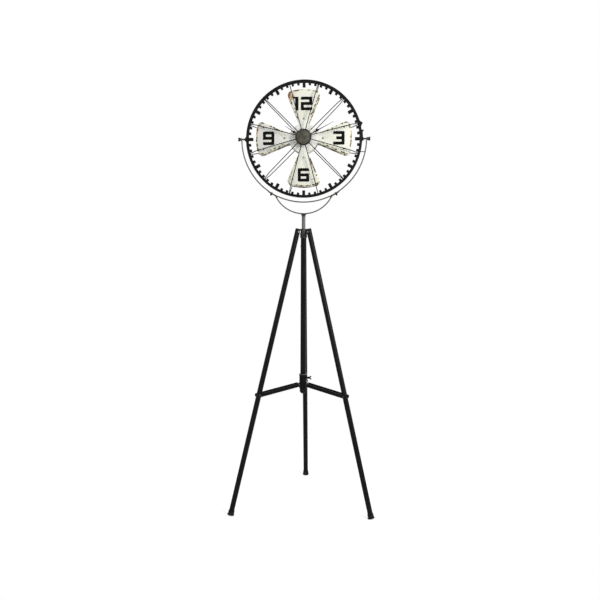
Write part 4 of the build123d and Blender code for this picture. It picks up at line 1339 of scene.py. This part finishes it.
@dataclass
class Spreader:
    """Sliding sleeve with its wing screw, pins and three channel arms."""

    ear_outer: float = 0.0118
    pin_radius: float = 0.0025
    pin_reach: float = 0.0121
    sleeve_edge: float = 0.0006
    arm_edge: float = 0.0003
    knob_seat: float = 0.024
    knob_tip: float = 0.01065
    knob_height: float = 0.503

    def pins(self) -> None:
        """Builds the riveted pins at the sleeve and the rivets at the arms' outer ends."""
        pins = Piece("sleeve_rivets")
        for leg in Leg:
            inner, axis = joint_line(leg.value + "_arm_fold")
            outer = middle("spreader_rivets_" + leg.value)
            rivets = Piece("arm_rivets_" + leg.value)
            for direction in (axis, -axis):
                pins.put(DomedRivet().build(), aim(inner + direction * self.pin_reach, direction), DARK_STEEL)
                seat = aim(outer + direction * self.ear_outer, direction)
                rivets.put(DomedRivet().build(), seat, DARK_STEEL)
            pins.put_pin(inner, axis, self.pin_reach, self.pin_radius, DARK_STEEL)
            rivets.settle("arm_" + leg.value, "spreader_rivets_" + leg.value)
        pins.settle("sleeve", "sleeve_pins")

    def wing_screw(self) -> None:
        """Builds the screw that clamps the sleeve on the column."""
        right = Vector((1.0, 0.0, 0.0))
        seat = Vector((COLUMN.x + self.knob_seat, COLUMN.y, self.knob_height))
        piece = Piece("sleeve_screw")
        HandScrew().build(piece, aim(seat, right), KNOB_STEEL, self.knob_seat - self.knob_tip)
        piece.settle("sleeve_screw", "sleeve_wing_screw")

    def build(self) -> None:
        """Builds the sleeve, the arms, their pins and the screw."""
        carry_over("spreader_sleeve", SLEEVE_PAINT, "sleeve", self.sleeve_edge, 3)
        for leg in Leg:
            carry_over("spreader_arm_" + leg.value, TUBE_BLACK, "arm_" + leg.value, self.arm_edge)
        self.pins()
        self.wing_screw()


# Support

@dataclass
class Support:
    """Post, saddle, lower bow, yoke and their fasteners."""

    saddle_foot: float = 0.00725
    saddle_waist: float = 0.00812
    saddle_top: float = 0.0115
    waist_share: float = 0.45
    bead: float = 0.0008
    plate_outer_radius: float = 0.246
    pad_inner_radius: float = 0.2405
    bolt_angle: float = 31.0
    bolt_radius: float = 0.00245
    bolt_head: CrossHead = CrossHead(0.0042, 0.0018, 0.0009, 0.0008)
    nut_radius: float = 0.0044
    nut_height: float = 0.004
    bolt_end: float = 0.0065

    def saddle(self) -> None:
        """Turns the funnel with a rounded rim and a bead at its foot."""
        low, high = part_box("bow_saddle")
        height = high.z - low.z
        rim = self.saddle_top - self.bead
        profile = [(0.0, 0.0), (self.saddle_foot - self.bead / 2, 0.0)]
        profile += arc(self.saddle_foot, self.bead, self.bead, -90, 60, 6)
        profile += [(self.saddle_foot, 2.4 * self.bead), (self.saddle_waist, height * self.waist_share)]
        profile.append((rim, height - 4 * self.bead))
        profile += arc(rim, height - 3 * self.bead, self.bead, 0, 30, 3)
        profile += arc(rim, height - self.bead, self.bead, 0, 90, 5)
        piece = Piece("saddle_funnel")
        place = Matrix.Translation((COLUMN.x, COLUMN.y, low.z))
        piece.put(lathe(profile + [(0.0, height)], steps=56), place, CAST_GREY)
        piece.settle("support", "bow_saddle")

    def bolts(self) -> None:
        """Builds the countersunk bolts and the nuts that hold the bow on the yoke."""
        piece = Piece("bow_fasteners")
        place = dial_place(Face.FRONT)
        seat_radius = math.sqrt(self.pad_inner_radius**2 - self.bolt_head.radius**2)
        for side in (-1, 1):
            turn = math.radians(-90 + side * self.bolt_angle)
            outward = Vector((math.cos(turn), math.sin(turn), 0.0))
            inner = place @ aim(outward * seat_radius, outward)
            outer = place @ aim(outward * self.plate_outer_radius, outward)
            piece.put(self.bolt_head.build(), place @ aim(outward * seat_radius, -outward), RING_BLACK)
            piece.put(pin(self.bolt_radius, self.plate_outer_radius - seat_radius), inner, RING_BLACK)
            piece.put(hexagon(self.nut_radius, self.nut_height), outer, RING_BLACK)
            piece.put(thread(self.bolt_radius, 0.0, self.bolt_end, COARSE_PITCH), outer, RING_BLACK)
        piece.settle("support", "bow_bolts")

    def build(self) -> None:
        """Builds the saddle and the fasteners, and paints the rods."""
        dress_node("mast_post", ROD_GREY)
        dress_node("mast_bush", BLACK_PLASTIC)
        self.saddle()
        self.bolts()
        dress_node("yoke_rod", ROD_GREY)
        dress_node("lower_bow", BOW_PAINT)


@dataclass
class TiltPivots:
    """Bosses, studs and wing nuts at both sides of the ring, and the guard clip."""

    stud_radius: float = 0.003
    stud_head: CrossHead = CrossHead(0.0045, 0.0016, 0.001, 0.0008)
    ring_inner: float = 0.222
    yoke_face: float = 0.2445
    nut_gap: float = 0.0003
    stud_end: float = 0.2543
    boss_edge: float = 0.0005
    clip_edge: float = 0.0003
    nut: HandScrew = field(default_factory=lambda: HandScrew(
        hub_radius=0.0055, hub_length=0.008, neck_radius=0.0041,
        lobe_radius=0.0042, lobe_reach=0.0036, lobe_rise=0.0078,
    ))

    def build(self) -> None:
        """Builds the studs and wing nuts and eases the bosses and the clip."""
        studs = Piece("threaded_studs")
        sunk = self.ring_inner - self.stud_head.height
        for name, side in (("left", -1.0), ("right", 1.0)):
            outward = Vector((side, 0.0, 0.0))
            inner = HUB + outward * sunk
            head_seat = aim(inner + outward * self.stud_head.height / 2, -outward)
            studs.put(self.stud_head.build(), head_seat, RING_BLACK)
            studs.put(pin(self.stud_radius, self.yoke_face - sunk), aim(inner, outward), RING_BLACK)
            end = thread(self.stud_radius, 0.0, self.stud_end - self.yoke_face, COARSE_PITCH)
            studs.put(end, aim(HUB + outward * self.yoke_face, outward), RING_BLACK)
            nut = Piece("pivot_wing_nut_" + name)
            seat = aim(HUB + outward * (self.yoke_face + self.nut_gap), outward)
            self.nut.build(nut, seat, KNOB_STEEL, 0.0)
            nut.settle("nut_" + name, "wing_nut_" + name)
        studs.settle("dial", "tilt_studs")
        carry_over("pivot_bosses", RING_BLACK, "dial", self.boss_edge, 3)
        carry_over("guard_clip", RING_BLACK, "dial", self.clip_edge)


# Dial

@dataclass
class WeldBeads:
    """Small weld beads where the wires and pins meet the ring and the blades."""

    foot_radius: float = 0.2172
    foot_depth: float = 0.0052
    pin_radius: float = 0.16
    pin_depth: float = 0.0202
    wire_depth_at_pin: float = 0.0313
    first_angle: float = 15.0
    wire_count: int = 12
    foot_bead: tuple[float, float] = (0.0026, 0.0013)
    pin_bead: tuple[float, float] = (0.0022, 0.0008)
    wire_bead: tuple[float, float] = (0.0021, 0.002)
    length_share: float = 1.25
    swell: float = 0.22
    swell_scale: float = 1.3
    seed: int = 7

    def bead(self, size: float, rise: float, chance: random.Random) -> bmesh.types.BMesh:
        """One uneven bead.

        Args:
            size: Its radius along the surface.
            rise: Its height.
            chance: Source of the unevenness.

        Returns:
            The shape.
        """
        shape = bmesh.new()
        bmesh.ops.create_icosphere(shape, subdivisions=2, radius=1.0)
        offset = Vector((chance.uniform(0, 9), chance.uniform(0, 9), chance.uniform(0, 9)))
        scale = Vector((size * self.length_share, size, rise))
        for vert in shape.verts:
            uneven = 1.0 + self.swell * noise.noise(vert.co * self.swell_scale + offset)
            vert.co = vert.co * scale * uneven
        return shape

    def build(self, face: Face) -> None:
        """Builds one face's beads.

        Args:
            face: The face of the dial.
        """
        chance = random.Random(self.seed + face.value)
        piece = Piece(face.word + "_weld_beads")
        for index in range(self.wire_count):
            degrees = self.first_angle + index * 360 / self.wire_count
            spots = [(self.foot_radius, self.foot_depth, self.foot_bead)]
            if index % 3 != 1:
                spots.append((self.pin_radius, self.pin_depth, self.pin_bead))
                spots.append((self.pin_radius, self.wire_depth_at_pin, self.wire_bead))
            for radius, depth, (size, rise) in spots:
                place = dial_place(face) @ polar(radius, degrees, depth)
                piece.put(self.bead(size, rise, chance), place, WIRE_DARK)
        piece.settle("dial")


@dataclass
class HubCap:
    """Domed cap with hammer marks and a rolled rim."""

    radius: float = 0.031
    front: float = 0.0474
    edge_drop: float = 0.0034
    back: float = 0.04
    wall: float = 0.0015
    roll: float = 0.0009
    marks: int = 110
    mark_radius: float = 0.0042
    mark_depth: float = 0.00035
    seed: int = 21

    def turned(self) -> bmesh.types.BMesh:
        """The smooth cap with its hollow.

        Returns:
            The shape.
        """
        sphere = (self.radius**2 + self.edge_drop**2) / (2 * self.edge_drop)
        span = math.degrees(math.asin((self.radius - self.roll) / sphere))
        edge = self.front - self.edge_drop
        inner_radius = self.radius - self.wall
        profile = arc(0.0, self.front - sphere, sphere, 90, 90 - span, 30)
        profile += arc(self.radius - self.roll, edge - self.roll, self.roll, 75, 0, 5)
        profile += [(self.radius, self.back), (inner_radius, self.back), (inner_radius, edge - self.wall)]
        return lathe(profile + [(0.0, self.front - self.wall)], steps=120)

    def hammer(self, shape: bmesh.types.BMesh, chance: random.Random) -> None:
        """Sinks round marks into the dome.

        Args:
            shape: The cap.
            chance: Source of the marks' places and sizes.
        """
        marks = []
        for _ in range(self.marks):
            distance = self.radius * math.sqrt(chance.random())
            turn = chance.uniform(0.0, math.tau)
            marks.append((distance * math.cos(turn), distance * math.sin(turn), chance.uniform(0.6, 1.0)))
        lowest = self.front - self.edge_drop - self.roll
        for vert in shape.verts:
            if vert.co.z < lowest or vert.co.xy.length > self.radius - 2 * self.roll:
                continue
            deepest = 0.0
            for across, up, size in marks:
                away = math.hypot(vert.co.x - across, vert.co.y - up) / (self.mark_radius * size)
                if away < 1.0:
                    deepest = max(deepest, (1.0 - away * away) * self.mark_depth * size)
            vert.co.z -= deepest

    def build(self, face: Face) -> None:
        """Builds one face's cap.

        Args:
            face: The face of the dial.
        """
        shape = self.turned()
        self.hammer(shape, random.Random(self.seed + face.value))
        piece = Piece(face.word + "_hammered_cap")
        piece.put(shape, dial_place(face), CAP_PATINA)
        piece.settle("dial", face.word + "_hub_cap")


@dataclass
class BladeScrews:
    """Cross-slotted screws at the blades' roots, on both faces."""

    distance: float = 0.0736
    seat: float = 0.02
    shank_end: float = 0.012
    head: CrossHead = CrossHead(0.0036, 0.0016, 0.0008, 0.0007)
    shank_radius: float = 0.002
    count: int = 4
    first_slot: float = 20.0
    slot_turn: float = 31.0

    def build(self) -> None:
        """Builds all eight screws as one node's piece."""
        piece = Piece("blade_root_screws")
        for face in Face:
            for index in range(self.count):
                seat = dial_place(face) @ polar(self.distance, index * 360 / self.count, self.seat)
                turn = math.radians(self.first_slot + self.slot_turn * index)
                piece.put(self.head.build(), seat @ Matrix.Rotation(turn, 4, "Z"), SCREW_STEEL)
                shank = thread(self.shank_radius, self.shank_end - self.seat, 0.0, FINE_PITCH)
                piece.put(shank, seat, DARK_STEEL)
        piece.settle("dial", "blade_screws")


@dataclass
class Works:
    """Movements, cells, nuts, shafts and hands inside the hub."""

    nut_radius: float = 0.0064
    nut_height: float = 0.0022
    seat: float = 0.02
    movement_edge: float = 0.0006
    hand_edge: float = 0.00018
    cell_offset: float = 0.0108
    cell_radius: float = 0.0071
    cell_length: float = 0.0485
    nub_radius: float = 0.0027
    nub_length: float = 0.0016
    recess_radius: float = 0.00378
    recess_rim: float = 0.00432
    crimp: float = 0.0006

    def cell(self) -> bmesh.types.BMesh:
        """Dry cell along Z with crimped ends and a nub.

        Returns:
            The shape.
        """
        low = -(self.cell_length + self.nub_length) / 2
        high = low + self.cell_length - self.nub_length
        crimp = self.crimp
        profile = [(0.0, low + crimp / 2), (self.recess_radius, low + crimp / 2)]
        profile += [(self.recess_rim, low), (self.cell_radius - 2 * crimp, low)]
        profile += arc(self.cell_radius - crimp, low + crimp, crimp, -90, 0, 4)
        profile += arc(self.cell_radius - crimp, high - crimp, crimp, 0, 90, 4)
        profile += [(self.cell_radius - 3 * crimp, high - crimp), (self.nub_radius, high - crimp)]
        profile.append((self.nub_radius, high + self.nub_length - crimp))
        profile.append((self.nub_radius - crimp, high + self.nub_length))
        return lathe(profile + [(0.0, high + self.nub_length)], steps=40)

    def build(self) -> None:
        """Builds the cells and nuts, eases the movements and hands, and finishes the shafts."""
        cells = Piece("dry_cells")
        nuts = Piece("bushing_nuts")
        window = middle("batteries")
        for face in Face:
            word = face.word
            centre = Vector((window.x, HUB.y + self.cell_offset * face.value, window.z))
            cells.put(self.cell(), aim(centre, Vector((-float(face.value), 0.0, 0.0))), CELL_JACKET)
            seat = dial_place(face) @ Matrix.Translation((0.0, 0.0, self.seat))
            nuts.put(hexagon(self.nut_radius, self.nut_height), seat, SHAFT_BRASS)
            carry_over(word + "_movement", MOVEMENT_PLASTIC, "dial", self.movement_edge)
            dress_node(word + "_hour_tube", SHAFT_BRASS)
            dress_node(word + "_minute_arbor", SHAFT_BRASS)
            carry_over(word + "_hour_hand", HAND_BLACK, word + "_hour", self.hand_edge)
            carry_over(word + "_minute_hand", HAND_BLACK, word + "_minute", self.hand_edge)
        cells.settle("dial", "batteries")
        nuts.settle("dial", "shaft_nuts")


@dataclass
class Dial:
    """Ring, teeth, blades, numerals, wire guards, caps and works."""

    tooth_edge: float = 0.0003
    blade_edge: float = 0.0004
    numeral_edge: float = 0.0002

    def build(self) -> None:
        """Builds both faces and what they share."""
        dress_node("dial_hoop", RING_BLACK)
        dress_node("hub_drum", RING_BLACK)
        dress_node("blade_spacers", DARK_STEEL)
        for face in Face:
            word = face.word
            carry_over(word + "_minute_track", RING_BLACK, "dial", self.tooth_edge)
            carry_over(word + "_blades", BLADE_ENAMEL, "dial", self.blade_edge)
            carry_over(word + "_numerals", NUMERAL_BLACK, "dial", self.numeral_edge)
            dress_node(word + "_wire_guard", WIRE_DARK)
            HubCap().build(face)
            WeldBeads().build(face)
        BladeScrews().build()
        TiltPivots().build()
        Works().build()


# Studio

@dataclass
class Studio:
    """White floor and world, soft lamps and the camera."""

    distance: float = 2.3793
    height: float = 0.965
    azimuth: float = math.radians(2.71)
    pitch: float = 0.0642
    yaw: float = -0.0054
    roll: float = -0.0036
    lens: float = 36.28
    sensor_width: float = 36.0
    floor_size: float = 40.0
    floor_colour: Colour = (0.5, 0.5, 0.5)
    floor_glow: float = 0.62
    shade_start: float = 0.35
    shade_end: float = 0.9
    world_fill: float = 0.56
    lamps: tuple = (
        ("key", (1.7, -1.7, 1.8), (0.0, -0.07, 1.3), (0.9, 1.1), 50.0),
        ("fill", (-0.9, -2.6, 2.1), (0.0, -0.07, 1.3), (1.2, 1.2), 14.0),
        ("rim", (0.6, 2.4, 2.3), (0.0, -0.07, 1.1), (1.4, 1.4), 16.0),
    )

    def camera(self) -> None:
        """Places the camera as it was fitted to the photograph."""
        home = Vector((math.sin(self.azimuth), -math.cos(self.azimuth), 0.0)) * self.distance
        home += Vector((COLUMN.x, COLUMN.y, self.height))
        heading = self.yaw - self.azimuth
        level = Vector((math.sin(heading), math.cos(heading), 0.0))
        forward = level * math.cos(self.pitch) - Vector((0.0, 0.0, math.sin(self.pitch)))
        right = forward.cross(Vector((0.0, 0.0, 1.0))).normalized()
        upward = right.cross(forward)
        leaned_right = right * math.cos(self.roll) - upward * math.sin(self.roll)
        leaned_up = right * math.sin(self.roll) + upward * math.cos(self.roll)
        turn = Matrix((leaned_right, leaned_up, -forward)).transposed()
        camera = bpy.data.cameras.new("camera")
        camera.lens = self.lens
        camera.sensor_width = self.sensor_width
        made = show("camera", camera)
        made.matrix_world = Matrix.Translation(home) @ turn.to_4x4()
        bpy.context.scene.camera = made

    def direct_rays(self, board: Board) -> Socket:
        """1 on camera, glossy and transmission rays, and 0 on the rest.

        Args:
            board: The node tree's board.

        Returns:
            The mask's socket.
        """
        path = board.add("ShaderNodeLightPath").outputs
        seen = board.math("MAXIMUM", path["Is Camera Ray"], path["Is Glossy Ray"])
        return board.math("MAXIMUM", seen, path["Is Transmission Ray"])

    def world(self) -> None:
        """White world where it is seen, and a plain fill elsewhere."""
        world = bpy.data.worlds.new("white_room")
        bpy.context.scene.world = world
        board = fresh_board(world)
        strength = board.span(self.direct_rays(board), self.world_fill, 1.0)
        back = board.add("ShaderNodeBackground", (1.0, 1.0, 1.0, 1.0), strength)
        board.add("ShaderNodeOutputWorld", back.outputs[0])

    def floor_material(self) -> bpy.types.Material:
        """White beyond the feet, with a faint shadow between them.

        Returns:
            The material.
        """
        material = bpy.data.materials.new("floor_white")
        board = fresh_board(material)
        seen = self.direct_rays(board)
        matt = board.add("ShaderNodeBsdfDiffuse", (*self.floor_colour, 1.0))
        glow = board.add("ShaderNodeEmission")
        board.feed(glow.inputs["Strength"], board.math("MULTIPLY", seen, self.floor_glow))
        near = board.add("ShaderNodeAddShader", matt.outputs[0], glow.outputs[0])
        length = board.add("ShaderNodeVectorMath", board.place, operation="LENGTH")
        beyond = board.step(length.outputs["Value"], self.shade_start, self.shade_end)
        white = board.add("ShaderNodeEmission")
        share = board.math("MULTIPLY", seen, beyond)
        whole = board.add("ShaderNodeMixShader", share, near.outputs[0], white.outputs[0])
        board.add("ShaderNodeOutputMaterial", whole.outputs[0])
        return material

    def floor(self) -> None:
        """Lays the floor."""
        shape = bmesh.new()
        bmesh.ops.create_grid(shape, x_segments=1, y_segments=1, size=self.floor_size / 2)
        mesh = bpy.data.meshes.new("floor")
        shape.to_mesh(mesh)
        shape.free()
        mesh.materials.append(self.floor_material())
        show("floor", mesh)

    def lights(self) -> None:
        """Soft area lamps aimed at the clock."""
        for name, home, target, size, power in self.lamps:
            lamp = bpy.data.lights.new(name, "AREA")
            lamp.shape = "RECTANGLE"
            lamp.size, lamp.size_y = size
            lamp.energy = power
            show(name, lamp).matrix_world = aim(Vector(home), Vector(home) - Vector(target))

    def build(self) -> None:
        """Sets the view and builds the studio."""
        bpy.context.scene.view_settings.view_transform = "Standard"
        self.camera()
        self.world()
        self.floor()
        self.lights()


def main() -> None:
    """Builds the clock from the floor up and then its studio."""
    Studio().build()
    for part in (Legs(), Head(), Spreader(), Support(), Dial()):
        part.build()
        log.info("%s built", type(part).__name__)


if __name__ == "__main__":
    main()
